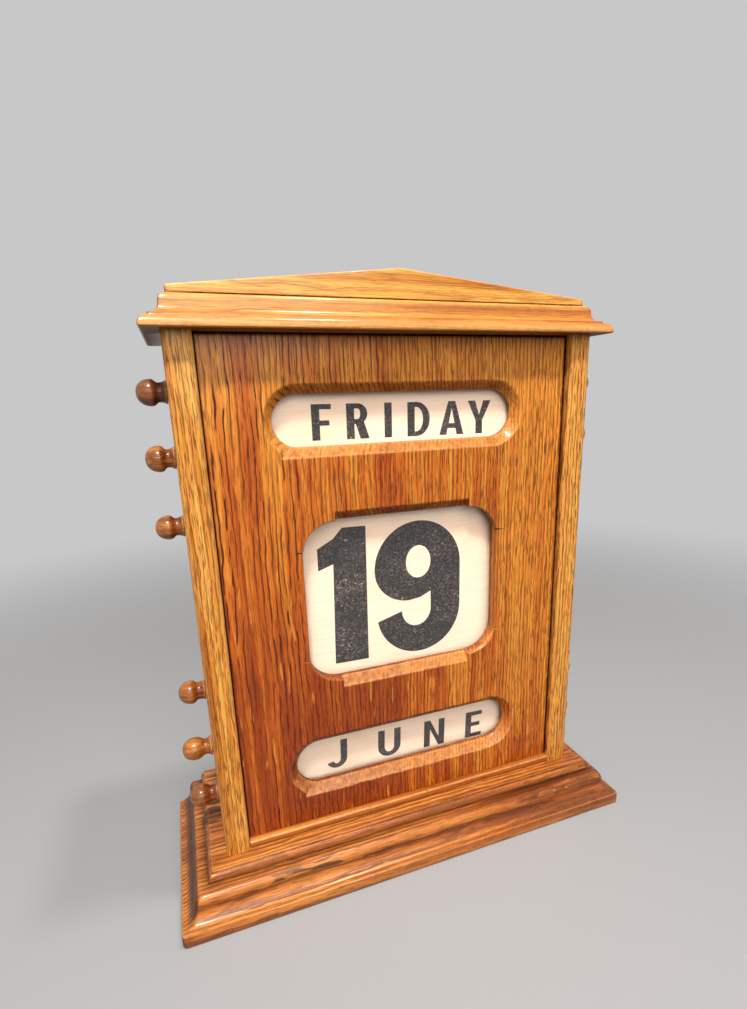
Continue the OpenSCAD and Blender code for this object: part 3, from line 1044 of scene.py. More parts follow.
@dataclass
class Opening:
    """One window's edge: its outline and the hand-cut bevel round it, in millimetres.

    A nick is where a tool overran the corner: (angle, length). The chips are the angles between which a corner has
    lost its edge. Angles are in degrees from +X towards +Z. The rim has a point every step of its straight sides,
    which end corner_gap short of the bends, and none within nick_gap degrees of a nick but the nick's own three.
    """

    blind: Blind
    radius: float | None = None
    lap: float = 5.0
    bevel: float = 4.7
    arris: float = 0.3
    ragged: float = 0.15
    overrun: float | None = None
    nicks: Sequence[tuple[float, float]] = ()
    chips: tuple[float, float] | None = None
    nick_depth: float = 3.2
    nick_spread: float = 1.7
    nick_gap: float = 2.5
    step: float = 1.8
    bend_steps: int = 18
    corner_gap: float = 0.12

    def __post_init__(self) -> None:
        """Takes the size and place from the glass behind the window."""
        low, high = box_mm(f"{self.blind.value}_glass")
        self.width, self.height = high.x - low.x - 2 * self.lap, high.z - low.z - 2 * self.lap
        self.centre_x, self.centre_z = (low.x + high.x) / 2, (low.z + high.z) / 2
        self.round_all = self.radius is None
        self.corner = self.height / 2 if self.round_all else self.radius

    def bevel_at(self, angle: float, along: float, straight: bool) -> tuple[float, float, float]:
        """The bevel where the outline faces one way.

        Args:
            angle: the way out, in degrees from +X towards +Z, 0 to 360.
            along: a place along the outline, for its unevenness.
            straight: True on the top and bottom edges.

        Returns:
            Spread on the face, depth at the edge, and the tone mask: rubbed wear with painted light on lower bevels,
            painted shade on upper ones.
        """
        seed = self.centre_z
        uneven = self.ragged * (
            wander(along * 0.11, seed) + 0.6 * wander(along * 0.37, seed, 3.0) + 0.35 * wander(along * 1.1, seed, 7.0)
        )
        right, up = math.cos(math.radians(angle)), math.sin(math.radians(angle))
        lower = max(0.0, -up)
        # Bevels that face up get paler (rubbed bare wood and painted light), bevels that face down darker (painted
        # shade).
        tone = 0.5 * lower - 0.5 * max(0.0, up) ** 2
        if straight or self.round_all:
            spread = self.bevel + uneven
            if self.overrun and 180 < angle < 270:
                reach = (self.corner + self.bevel) / max(0.2, -up)
                if -right * reach < self.overrun:
                    spread = reach - self.corner + uneven
            return max(spread, 1.0), self.bevel - 0.1, tone
        if self.chips and self.chips[0] < angle < self.chips[1]:
            share = (angle - self.chips[0]) / (self.chips[1] - self.chips[0])
            bite = 1.5 * max(0.0, 0.55 + 0.45 * wander(angle * 0.05, 2.0)) * math.sin(math.pi * share)
            return self.arris + bite, self.arris + 1.6 * bite, 0.55
        return self.arris, self.arris, 0.15 * lower

    def rim(self) -> list[RimPoint]:
        """Walks round the inner edge, anticlockwise as seen from the front.

        Returns:
            Its points.
        """
        r, half_flat, half_tall = self.corner, self.width / 2 - self.corner, self.height / 2 - self.corner
        points: list[RimPoint] = []

        def put(x: float, z: float, angle: float, straight: bool) -> None:
            turn = math.radians(angle)
            bevel = self.bevel_at(angle % 360, 2.0 * (len(points) + 1), straight)
            points.append(RimPoint(self.centre_x + x, self.centre_z + z, math.cos(turn), math.sin(turn), *bevel))

        def side(x0: float, z0: float, x1: float, z1: float, angle: float, bevelled: bool) -> None:
            length = math.dist((x0, z0), (x1, z1))
            count = max(1, round(length / self.step))
            shares = [n / count for n in range(count + 1)]
            if bevelled and not self.round_all:
                shares[0], shares[-1] = self.corner_gap / length, 1 - self.corner_gap / length
            for share in shares:
                put(x0 + (x1 - x0) * share, z0 + (z1 - z0) * share, angle, bevelled)

        def bend(cx: float, cz: float, start: float) -> None:
            angles = [start + 90 * n / self.bend_steps for n in range(self.bend_steps + 1)]
            if self.round_all:
                angles = angles[1:-1]
            here = [(a, length) for a, length in self.nicks if start < a < start + 90]
            angles = [a for a in angles if all(abs(a - n) > self.nick_gap for n, _ in here)]
            angles += [n + d for n, _ in here for d in (-self.nick_spread, 0.0, self.nick_spread)]
            for angle in sorted(angles):
                turn = math.radians(angle)
                put(cx + r * math.cos(turn), cz + r * math.sin(turn), angle, False)
                for nick, length in here:
                    if angle == nick:
                        out = math.copysign(1.0, math.cos(turn))
                        # A nick in the lower edge gets paler (rubbed wood and painted light), one in the upper edge
                        # darker (painted shade).
                        tone = 0.75 if math.sin(turn) < 0 else -0.85
                        points[-1] = RimPoint(*points[-1][:2], out, 0.0, length, self.nick_depth, tone)

        for way, level, upright in ((1, 270, 0), (-1, 90, 180)):
            side(-way * half_flat, -way * self.height / 2, way * half_flat, -way * self.height / 2, level, True)
            bend(way * half_flat, -way * half_tall, level)
            if half_tall > 0:
                side(way * self.width / 2, -way * half_tall, way * self.width / 2, way * half_tall, upright, False)
            bend(way * half_flat, way * half_tall, upright)
        return points

    def cut_into(self, shell: Shell, front: float, back: float) -> tuple[list[int], list[int]]:
        """Adds the window's rings to the panel.

        Args:
            shell: the panel.
            front: its front face.
            back: its back face.

        Returns:
            The rings where the front and the back face end.
        """
        rim = self.rim()
        soft = 0.25

        # Each row says how far out of the rim it lies, how deep, and its tone mask (wear with painted light and shade)
        def row(extra: Measure, depth: Measure, tone: Measure) -> list[int]:
            ring = []
            for p in rim:
                out = extra(p)
                ring.append((p.x + p.out_x * out, front + depth(p), p.z + p.out_z * out))
            return shell.ring(ring, [tone(p) for p in rim])

        def slope(share: float) -> list[int]:
            return row(
                lambda p: p.spread * (1 - share) + 0.3 * self.ragged * wander(p.x * 0.5, p.z * 0.5, share * 9),
                lambda p: 0.1 + (p.depth - 0.1) * share,
                lambda p: p.tone * (0.8 + 0.3 * wander(p.x * 0.3, p.z, share)),
            )

        rows = [
            row(lambda p: p.spread + 0.9, lambda p: 0.0, lambda p: 0.0),
            row(lambda p: p.spread + soft, lambda p: 0.0, lambda p: 0.15 + 0.5 * p.tone),
            row(lambda p: p.spread * 0.98, lambda p: 0.12, lambda p: 0.2 + 0.8 * p.tone),
        ]
        rows += [slope(share) for share in (0.25, 0.5, 0.75)]
        rows += [
            row(lambda p: 0.06, lambda p: p.depth, lambda p: 0.2 + 0.8 * p.tone),
            row(lambda p: 0.0, lambda p: p.depth + 0.15, lambda p: 0.1),
            # The wall's back edge gets painted shade inside the window.
            row(lambda p: 0.0, lambda p: back - front, lambda p: -0.5),
        ]
        for first, second in zip(rows, rows[1:]):
            shell.bridge(second, first, closed=True)
        return rows[0], rows[-1]


@dataclass
class Case:
    """The oak case: base, sides, front panel, sill, back, cornice and pediment. Sizes are in millimetres."""

    workshop: Workshop
    side_round: float = 2.5
    groove: float = 4.0
    groove_slack: float = 0.2
    rabbet: float = 6.0
    journal_bore: float = 8.2
    plinth_edge: float = 7.1
    gable_end: float = 3.5
    gable_crown: float = 14.0
    gable_steps: int = 30
    side_levels: int = 92
    side_wear: float = 0.35
    base_screw: tuple[float, float, float] = (4.0, 8.0, 42.0)
    cornice_screw: tuple[float, float, float] = (4.0, 8.0, 32.0)
    back_screw: tuple[float, float, float] = (2.4, 5.0, 14.0)

    def screw_places(self, node: str) -> list[tuple[float, float, float]]:
        """The middles of the outer faces of a node's screw heads, from the node's own box.

        Args:
            node: base_screws, cornice_screws or back_screws.

        Returns:
            The places.
        """
        low, high = box_mm(node)
        if node == "back_screws":
            x, half = high.x - self.back_screw[1] / 2, self.back_screw[1] / 2
            levels = [low.z + half, (low.z + high.z) / 2, high.z - half]
            return [(side * x, high.y, z) for side in (-1, 1) for z in levels]
        size = self.base_screw if node == "base_screws" else self.cornice_screw
        x, half = high.x - size[1] / 2, size[1] / 2
        z = low.z if node == "base_screws" else high.z
        return [(side * x, y, z) for side in (-1, 1) for y in (low.y + half, high.y - half)]

    def screw_bores(self, node: str, x_side: int | None = None) -> list[Shell]:
        """The holes of one set of screws.

        Args:
            node: the set.
            x_side: -1 or 1 for one side's alone, or None for all.

        Returns:
            The cutters.
        """
        size, along = {
            "base_screws": (self.base_screw, (0, 0, 1)),
            "cornice_screws": (self.cornice_screw, (0, 0, -1)),
            "back_screws": (self.back_screw, (0, -1, 0)),
        }[node]
        return [screw_bore(p, along, *size) for p in self.screw_places(node) if x_side is None or p[0] * x_side > 0]

    def dowel_bores(self) -> list[Shell]:
        """The holes of the two dowels, through both boards that they join."""
        low, high = box_mm("pediment_dowels")
        y, r = (low.y + high.y) / 2, (high.y - low.y) / 2 + 0.05
        x = high.x - (high.y - low.y) / 2
        section = [(0.0, r), (high.z - low.z + 0.1, r)]
        return [turned_cutter(section, (side * x, y, low.z - 0.05), (0, 0, 1)) for side in (-1, 1)]

    def put(self, name: str, mesh: Mesh, finish: str, slot: str, node: str) -> None:
        """Places one board, which stands for one CAD node."""
        place_piece(name, mesh, self.workshop[finish], nodes=[node])

    def put_moulded(self, board: MouldedBoard, finish: str, slot: str) -> None:
        """Builds and places a moulded board."""
        name = board.node + "_board"
        self.put(name, board.build(name), finish, slot, board.node)

    def build_base(self) -> None:
        """Builds the plinth and the step board with their mouldings."""
        low, high = box_mm("base_plinth")
        tall, lip = high.z - low.z, self.plinth_edge
        middle = (lip + tall) / 2
        # The quirks and the top where the step sits carry painted shade; the arrises carry rubbed wear.
        plinth = [
            *edge((0.7, 0.0), (0.25, 0.15, 0.2), (0.0, 0.7, 0.25), (0.0, 3.5)),
            *edge((0.0, lip - 0.7, 0.35), (0.2, lip - 0.2, 0.8), (0.6, lip, 0.7)),
            *quarter((1.2, lip, 0.3), (7.4, middle, -0.05), True),
            EdgePoint(7.5, middle + 0.35, -0.25),
            *quarter((7.4, middle + 0.8, -0.2), (10.8, tall, 0.25), False),
            *edge((12.5, tall, -0.1), (15.2, tall, -0.75), (18.5, tall)),
        ]
        board = MouldedBoard("base_plinth", plinth, corner=2.6, seed=1.0, bores=self.screw_bores("base_screws"))
        self.put_moulded(board, "plinth_oak", "oak_base")
        low, high = box_mm("base_step")
        thick = high.z - low.z
        # The underside's front edge and the quirk carry painted shade; the arrises carry rubbed wear.
        step = [
            *edge((0.5, 0.0, -0.7), (0.0, 0.5, -0.3), (0.0, thick * 0.3, 0.3)),
            *quarter((0.02, thick * 0.3 + 0.05, 0.4), (1.7, thick - 1.2, 0.2), False, 8),
            *edge((1.75, thick - 0.9, -0.4), (2.0, thick - 0.85, -0.2), (2.05, thick - 0.3, 0.5)),
            *edge((2.3, thick, 0.6), (3.2, thick, 0.15), (5.0, thick)),
        ]
        board = MouldedBoard("base_step", step, corner=0.9, seed=2.0, dents=0.25, bores=self.screw_bores("base_screws"))
        self.put_moulded(board, "step_oak", "oak_base")

    def build_cornice(self) -> None:
        """Builds the cornice and the pediment on it."""
        low, high = box_mm("cornice")
        tall = high.z - low.z
        fillet = tall * 0.36
        cornice = [
            # The underside carries painted shade, and so does the quirk above the fillet.
            *edge((1.6, 0.0, -1.0), (0.8, 0.05, -0.6), (0.1, 0.6, 0.5)),
            *quarter((0.0, 0.9, 0.6), (4.1, fillet, 0.1), False),
            EdgePoint(4.3, fillet + 0.45, -0.3),
            *quarter((4.4, fillet + 0.9, -0.1), (8.8, tall - 4.3, 0.1), True, 9),
            *quarter((8.85, tall - 3.9, 0.15), (11.3, tall, 0.45), False, 9),
            EdgePoint(13.5, tall, 0.0),
        ]
        bores = self.screw_bores("cornice_screws") + self.dowel_bores()
        board = MouldedBoard("cornice", cornice, corner=0.8, seed=3.0, dents=0.7, bores=bores)
        self.put_moulded(board, "cornice_oak", "oak_cornice")
        self.build_pediment()

    def build_pediment(self) -> None:
        """Builds the low gable, with softened arrises."""
        low, high = box_mm("pediment")
        half, tall, crown = high.x, high.z - low.z, self.gable_crown
        slope = (tall - self.gable_end) / half
        across = [half * n / self.gable_steps for n in range(-self.gable_steps, self.gable_steps + 1)]

        def top(x: float) -> float:
            sag = crown * (math.sqrt(1 + slope * slope) - 1)
            line = tall + sag - slope * abs(x)
            knee = crown * slope / math.sqrt(1 + slope * slope)
            return tall - crown + math.sqrt(crown**2 - x * x) if abs(x) < knee else line

        across = sorted(set(across + [x / 2 for x in range(-4, 5)]))
        foot = sorted({*across[::3], across[-1]})
        shell, rings = Shell(), []
        # A softened arris: how far from the face, how far in, and the wear mask
        soft = [(0.0, 0.8, 0.0), (0.06, 0.42, 0.35), (0.23, 0.18, 0.6), (0.5, 0.04, 0.35), (0.9, 0.0, 0.0)]
        depths = [(low.y + y, inset, tone) for y, inset, tone in soft]
        depths += [(high.y - y, inset, tone) for y, inset, tone in reversed(soft)]
        for y, inset, tone in depths:
            scale = 1 - inset / half
            upper = [
                (x * scale, y, low.z + max(top(x) - inset - 0.12 * max(tone, 0.0) * (0.5 + wander(x * 0.05, y)), 1.2))
                for x in reversed(across)
            ]
            lower = [(x * scale, y, low.z + inset * 0.7) for x in foot]
            # Painted shade along the foot, where the pediment sits on the cornice.
            painted_joint_shade = [-1.0 if abs(x) < half - 5 else -0.4 for x in foot]
            rings.append(shell.ring(lower + upper, painted_joint_shade + [tone] * len(upper)))
        shell.loft(rings, capped=False)
        # Rings on the front and back faces keep the painted shade and the rubbing near their edges
        margin = 2.2
        for outer, y, flip in ((rings[0], low.y, False), (rings[-1], high.y, True)):
            scale = 1 - margin / half
            lower = [(x * scale, y, low.z + margin / 2) for x in foot]
            upper = [(x * scale, y, low.z + max(top(x) - margin, 1.7)) for x in reversed(across)]
            field_ring = shell.ring(lower + upper, 0.0)
            shell.bridge(outer, field_ring, closed=True)
            shell.cap(field_ring, flip=flip)
        mesh = bored(shell.mesh("pediment_board"), self.dowel_bores())
        self.put("pediment_board", mesh, "pediment_oak", "oak_cornice", "pediment")

    def side_section(
        self, wide: float, front: float, back: float, panel: tuple[float, float], back_board: float
    ) -> Section:
        """A side's plan, with its inner face at x = 0.

        Args:
            wide: its thickness.
            front: where its front edge lies.
            back: where its back edge lies.
            panel: the front panel's front and back face.
            back_board: the back panel's front face.

        Returns:
            (x, y, tone mask for wear and painted shade) points.
        """
        r, gap = self.side_round, self.groove_slack

        def round_off(cx: float, cy: float, start: float, radius: float, tone: float) -> Section:
            first = math.radians(start)
            return [
                (cx + radius * math.cos(t), cy + radius * math.sin(t), tone * math.sin(2 * (t - first)) ** 2)
                for t in (math.radians(start + 90 * n / 8) for n in range(9))
            ]

        return [
            *round_off(r, front + r, 180, r, 0.3),
            (wide / 2, front, 0.05),
            *round_off(wide - r, front + r, 270, r, 0.3),
            (wide, (front + back) / 2, 0.0),
            *round_off(wide - 0.8, back - 0.8, 0, 0.8, 0.5),
            (self.rabbet + 0.3, back, 0.3),
            (self.rabbet, back - 0.3, 0.2),
            # The rabbet, the groove and the inner face next to the panel carry painted shade.
            (self.rabbet, back_board, -0.5),
            (0.0, back_board, 0.0),
            (0.0, panel[1] + gap, -0.4),
            (self.groove, panel[1] + gap, -1.0),
            (self.groove, panel[0] - gap, -1.0),
            (0.25, panel[0] - gap, -1.0),
            (0.0, panel[0] - gap - 0.25, -0.7),
            (0.0, panel[0] - gap - 1.2, -0.25),
        ]

    def build_side(self, side: Side) -> None:
        """Builds one side with its rounded front arrises, groove, rabbet and bores.

        Args:
            side: which one.
        """
        node = f"{side.name.lower()}_side"
        low, high = box_mm(node)
        panel = tuple(corner.y for corner in box_mm("front_panel"))
        section = self.side_section(high.x - low.x, low.y, high.y, panel, box_mm("back_panel")[0].y)
        inner = min(abs(low.x), abs(high.x))
        shell, rings = Shell(), []
        rounded = low.y + self.side_round
        for n in range(self.side_levels + 1):
            z = low.z + (high.z - low.z) * n / self.side_levels
            ring = []
            for m, (x, y, tone) in enumerate(section):
                pull = max(tone, 0.0) * self.side_wear * (0.5 + 0.5 * wander(z * 0.035, m * 0.35, side.value * 3))
                bend_x = high.x - low.x - self.side_round if x > (high.x - low.x) / 2 else self.side_round
                if y < rounded + 0.01 and pull:
                    x, y = x + (bend_x - x) * pull * 0.4, y + (rounded - y) * pull * 0.4
                ring.append((side.value * (inner + x), y, z))
            tones = [t * (0.8 + 0.35 * wander(z * 0.05, m, side.value)) for m, (_, _, t) in enumerate(section)]
            rings.append(shell.ring(ring, tones))
        shell.loft(rings)
        cutters = []
        for screws in ("base_screws", "cornice_screws", "back_screws"):
            cutters += self.screw_bores(screws, side.value)
        hole = [(-1.0, self.journal_bore / 2), (high.x - low.x + 1.0, self.journal_bore / 2)]
        for blind in Blind:
            for end in End:
                middle = sum(box_mm(f"{blind.value}_{end.value}_roller"), Vector()) / 2
                cutters.append(turned_cutter(hole, (side.value * inner, middle.y, middle.z), (side.value, 0, 0)))
        mesh = bored(shell.mesh(node + "_board"), cutters)
        self.put(node + "_board", mesh, f"{side.name.lower()}_stile_oak", "oak_side", node)

    def build_front_panel(self, openings: Sequence[Opening]) -> None:
        """Builds the front panel with its three hand-cut windows.

        Args:
            openings: the windows.
        """
        low, high = box_mm("front_panel")
        shell = Shell()
        inner = box_mm("right_side")[0].x

        def frame_ring(x: float, up: float, down: float, y: float, tone: float) -> list[int]:
            foot, top = low.z + up, high.z - down
            return shell.ring([(-x, y, foot), (x, y, foot), (x, y, top), (-x, y, top)], tone)

        # The edge rings step back into the grooves and carry painted shade: a dark line where the panel meets the
        # sides, the cornice and the sill.
        rings = [
            frame_ring(high.x, 0.0, 0.0, high.y, -1.0),
            frame_ring(high.x, 0.0, 0.0, low.y + 0.9, -1.0),
            frame_ring(inner - 0.05, 0.1, 0.1, low.y + 0.9, -1.0),
            frame_ring(inner - 0.5, 0.4, 0.5, low.y + 0.35, -1.0),
            frame_ring(inner - 0.75, 0.8, 1.0, low.y + 0.05, -0.6),
            frame_ring(inner - 1.5, 2.0, 2.0, low.y, 0.0),
        ]
        shell.loft(rings, capped=False)
        cuts = [opening.cut_into(shell, low.y, high.y) for opening in openings]
        for loops, flip in (([rings[-1], *(c[0] for c in cuts)], False), ([rings[0], *(c[1] for c in cuts)], True)):
            numbers = [n for loop in loops for n in loop]
            flat = [[Vector((shell.points[n][0], shell.points[n][2], 0.0)) for n in loop] for loop in loops]
            for triangle in tessellate_polygon(flat):
                face = [numbers[n] for n in triangle]
                a, b, c = (Vector((shell.points[n][0], shell.points[n][2])) for n in face)
                turn = (b - a).x * (c - a).y - (b - a).y * (c - a).x
                shell.faces.append(tuple(face) if (turn > 0) != flip else tuple(reversed(face)))
        mesh = shell.mesh("front_panel_board", sharp_angle=28)
        self.put("front_panel_board", mesh, "panel_oak", "oak_panel", "front_panel")

    def build_sill(self) -> None:
        """Builds the strip at the foot of the front panel."""
        low, high = box_mm("sill_strip")
        r, tall = 1.2, high.z - low.z
        # The back and the foot of the strip carry painted shade where it meets the panel and the step.
        profile = [(high.y, low.z, -0.6), (high.y, high.z - 0.1, -0.8)]
        profile += [(high.y - 0.5, high.z, -0.2), (high.y - 2.0, high.z, 0.1)]
        profile += [
            (low.y + r - r * math.sin(t), high.z - r + r * math.cos(t), 0.5 * math.sin(2 * t))
            for t in (math.pi / 2 * n / 7 for n in range(8))
        ]
        profile += [(low.y, low.z + tall * 0.3, 0.0), (low.y + 0.1, low.z, -0.8)]
        mesh = straight_moulding("sill_strip_moulding", profile, low.x, high.x, 0.12)
        self.put("sill_strip_moulding", mesh, "sill_oak", "oak_cornice", "sill_strip")

    def build_back(self) -> None:
        """Builds the back panel with its screw holes."""
        low, high = box_mm("back_panel")
        mesh = bored(rounded_block("back_panel_board", low, high, 0.6), self.screw_bores("back_screws"))
        self.put("back_panel_board", mesh, "back_oak", "oak_back", "back_panel")

    def build(self, openings: Sequence[Opening]) -> None:
        """Builds every board.

        Args:
            openings: the windows of the front panel.
        """
        self.build_base()
        for side in Side:
            self.build_side(side)
        self.build_front_panel(openings)
        self.build_sill()
        self.build_back()
        self.build_cornice()
        dress_node("corner_blocks", self.workshop["block_oak"])
        dress_node("pediment_dowels", self.workshop["roller_beech"])


# ---------------------------------------------------------------------------------------------------------------------
# Geometry Nodes: the wound cloth and the screws


def grown_mesh(
    name: str, start: Mesh, tree: NodeTree, values: Mapping[str, object], sharp_angle: float = SHARP_ANGLE
) -> Mesh:
    """Runs a Geometry Nodes tree on a mesh and keeps the result as a plain mesh.

    Args:
        name: the new mesh's name.
        start: the mesh that the tree gets.
        tree: the tree.
        values: what each named input gets.
        sharp_angle: the angle in degrees past which an edge stays sharp.

    Returns:
        The new mesh.
    """
    item = new_object(name + "_start", start)
    modifier = item.modifiers.new(tree.name, "NODES")
    modifier.node_group = tree
    for socket in tree.interface.items_tree:
        if socket.item_type == "SOCKET" and socket.in_out == "INPUT" and socket.name in values:
            modifier[socket.identifier] = values[socket.name]
    mesh = evaluated_mesh(item)
    item.modifiers.remove(modifier)
    bpy.data.objects.remove(item)
    mesh.name = name
    smooth(mesh, sharp_angle)
    return mesh


def finish_tree(b: Bench, shape: NodeSocket, finish: NodeSocket, out: Node) -> None:
    """Ends a Geometry Nodes tree: its shape is made real and gets its finish.

    Args:
        b: the tree's bench.
        shape: the geometry.
        finish: the material.
        out: the tree's output node.
    """
    real = b.add("GeometryNodeRealizeInstances", {0: shape})
    dressed = b.add("GeometryNodeSetMaterial", {"Geometry": real.outputs[0], "Material": finish})
    b.feed(out.inputs[0], dressed.outputs[0])


def wound_cloth_tree() -> NodeTree:
    """Cloth wound on a roller: a spiral swept with the cloth's own thin section, its outer end at the front.

    Returns:
        The tree.
    """
    tree, b, entry, out = new_group(
        "wound_cloth",
        TreeKind.GEOMETRY,
        {
            "Geometry": ["Geometry"],
            "Float": ["Inner Radius", "Outer Radius", "Turns", "Thickness", "Width"],
            "Int": ["Steps per Turn"],
            "Bool": ["Winds Down"],
            "Vector": ["Middle"],
            "Material": ["Finish"],
        },
        {"Geometry": ["Geometry"]},
    )
    i = entry.outputs
    winding = {"Resolution": i["Steps per Turn"], "Rotations": i["Turns"], "Reverse": i["Winds Down"]}
    winding |= {"Start Radius": i["Inner Radius"], "End Radius": i["Outer Radius"], "Height": 0.0}
    spiral = b.add("GeometryNodeCurveSpiral", winding).outputs[0]
    thin = {"Width": i["Thickness"], "Height": i["Width"]}
    section = b.add("GeometryNodeCurvePrimitiveQuadrilateral", thin).outputs[0]
    swept = b.add("GeometryNodeCurveToMesh", {"Curve": spiral, "Profile Curve": section, "Fill Caps": True}).outputs[0]
    ends = {"Switch": i["Winds Down"], "False": -math.pi / 2, "True": math.pi / 2 * 3}
    turn = b.add("GeometryNodeSwitch", ends, input_type="FLOAT").outputs[0]
    facing = b.combined({"Z": turn})
    faced = b.add("GeometryNodeTransform", {"Geometry": swept, "Rotation": facing}).outputs[0]
    lying = {"Geometry": faced, "Rotation": (0.0, math.pi / 2, 0.0), "Translation": i["Middle"]}
    finish_tree(b, b.add("GeometryNodeTransform", lying).outputs[0], i["Finish"], out)
    return tree


def screw_set_tree() -> NodeTree:
    """Slotted countersunk screws at a mesh's points, each turned as it happened to stop.

    Returns:
        The tree.
    """
    tree, b, entry, out = new_group(
        "slotted_screws",
        TreeKind.GEOMETRY,
        {
            "Geometry": ["Geometry"],
            "Float": ["Head Radius", "Shank Radius", "Head Height", "Length", "Slot Width", "Slot Depth"],
            "Int": ["Seed"],
            "Vector": ["Heading"],
            "Material": ["Finish"],
        },
        {"Geometry": ["Geometry"]},
    )
    i = entry.outputs
    sizes = {"Vertices": 32, "Radius Bottom": i["Head Radius"], "Radius Top": i["Shank Radius"]}
    head = b.add("GeometryNodeMeshCone", sizes | {"Depth": i["Head Height"]})
    rest = b.minus(i["Length"], i["Head Height"])
    tip = b.times(i["Shank Radius"], 0.55)
    sizes = {"Vertices": 16, "Radius Bottom": i["Shank Radius"], "Radius Top": tip, "Depth": rest}
    shank = b.add("GeometryNodeMeshCone", sizes)
    below = b.combined({"Z": i["Head Height"]})
    lowered = b.add("GeometryNodeTransform", {"Geometry": shank.outputs[0], "Translation": below})
    across = b.times(i["Head Radius"], 3.0)
    deep = b.times(i["Slot Depth"], 2.0)
    size = b.combined({"X": across, "Y": i["Slot Width"], "Z": deep})
    slot = b.add("GeometryNodeMeshCube", {"Size": size})
    both = {"Mesh 1": head.outputs[0], "Mesh 2": slot.outputs[0]}
    cut = b.add("GeometryNodeMeshBoolean", both, operation="DIFFERENCE")
    screw = b.add("GeometryNodeJoinGeometry")
    b.feed(screw.inputs[0], cut.outputs[0])
    b.feed(screw.inputs[0], lowered.outputs[0])
    stop = b.add("FunctionNodeRandomValue", {"Min": 0.0, "Max": math.pi, "Seed": i["Seed"]}, data_type="FLOAT")
    angle = next(s for s in stop.outputs if s.enabled)
    spin = b.add("FunctionNodeEulerToRotation", {0: b.combined({"Z": angle})})
    heading = b.add("FunctionNodeEulerToRotation", {0: i["Heading"]})
    turns = {"Rotation": heading.outputs[0], "Rotate By": spin.outputs[0]}
    turned = b.add("FunctionNodeRotateRotation", turns, rotation_space="LOCAL").outputs[0]
    copies = {"Points": i["Geometry"], "Instance": screw.outputs[0], "Rotation": turned}
    finish_tree(b, b.add("GeometryNodeInstanceOnPoints", copies).outputs[0], i["Finish"], out)
    return tree


@dataclass
class Fixings:
    """The screws, and the pins that hold the glasses. A slot's sizes are shares of the screw's head."""

    workshop: Workshop
    case: Case
    slot_width: float = 0.13
    slot_depth: float = 0.16

    def build(self) -> None:
        """Builds the three sets of screws and dresses the pins."""
        tree = screw_set_tree()
        sets = [
            ("base_screws", self.case.base_screw, (0.0, 0.0, 0.0), "steel"),
            ("cornice_screws", self.case.cornice_screw, (math.pi, 0.0, 0.0), "steel"),
            ("back_screws", self.case.back_screw, (math.pi / 2, 0.0, 0.0), "brass"),
        ]
        for seed, (node, (shank, head, length), heading, metal) in enumerate(sets, 3):
            points = bpy.data.meshes.new(node + "_places")
            points.from_pydata([Vector(p) * MM for p in self.case.screw_places(node)], [], [])
            values = {
                "Head Radius": head / 2 * MM,
                "Shank Radius": shank / 2 * MM,
                "Head Height": (head - shank) / 2 * MM,
                "Length": length * MM,
                "Slot Width": head * self.slot_width * MM,
                "Slot Depth": head * self.slot_depth * MM,
                "Seed": seed,
                "Heading": heading,
                "Finish": self.workshop[metal],
            }
            mesh = grown_mesh(node + "_slotted", points, tree, values)
            place_piece(node + "_slotted", mesh, self.workshop[metal], nodes=[node])
        dress_node("glass_pins", self.workshop["brass"])


# ---------------------------------------------------------------------------------------------------------------------
# Knobs, cloth and lettering


@dataclass(frozen=True)
class KnobShape:
    """One turned knob.

    It says the diameters of the head and the waist, how much shorter than its CAD node and how far out of true the
    knob is, and its finish.
    """

    head: float = 13.2
    short: float = -0.7
    waist: float = 9.2
    oval: float = 0.01
    finish: str = "knob_oak"


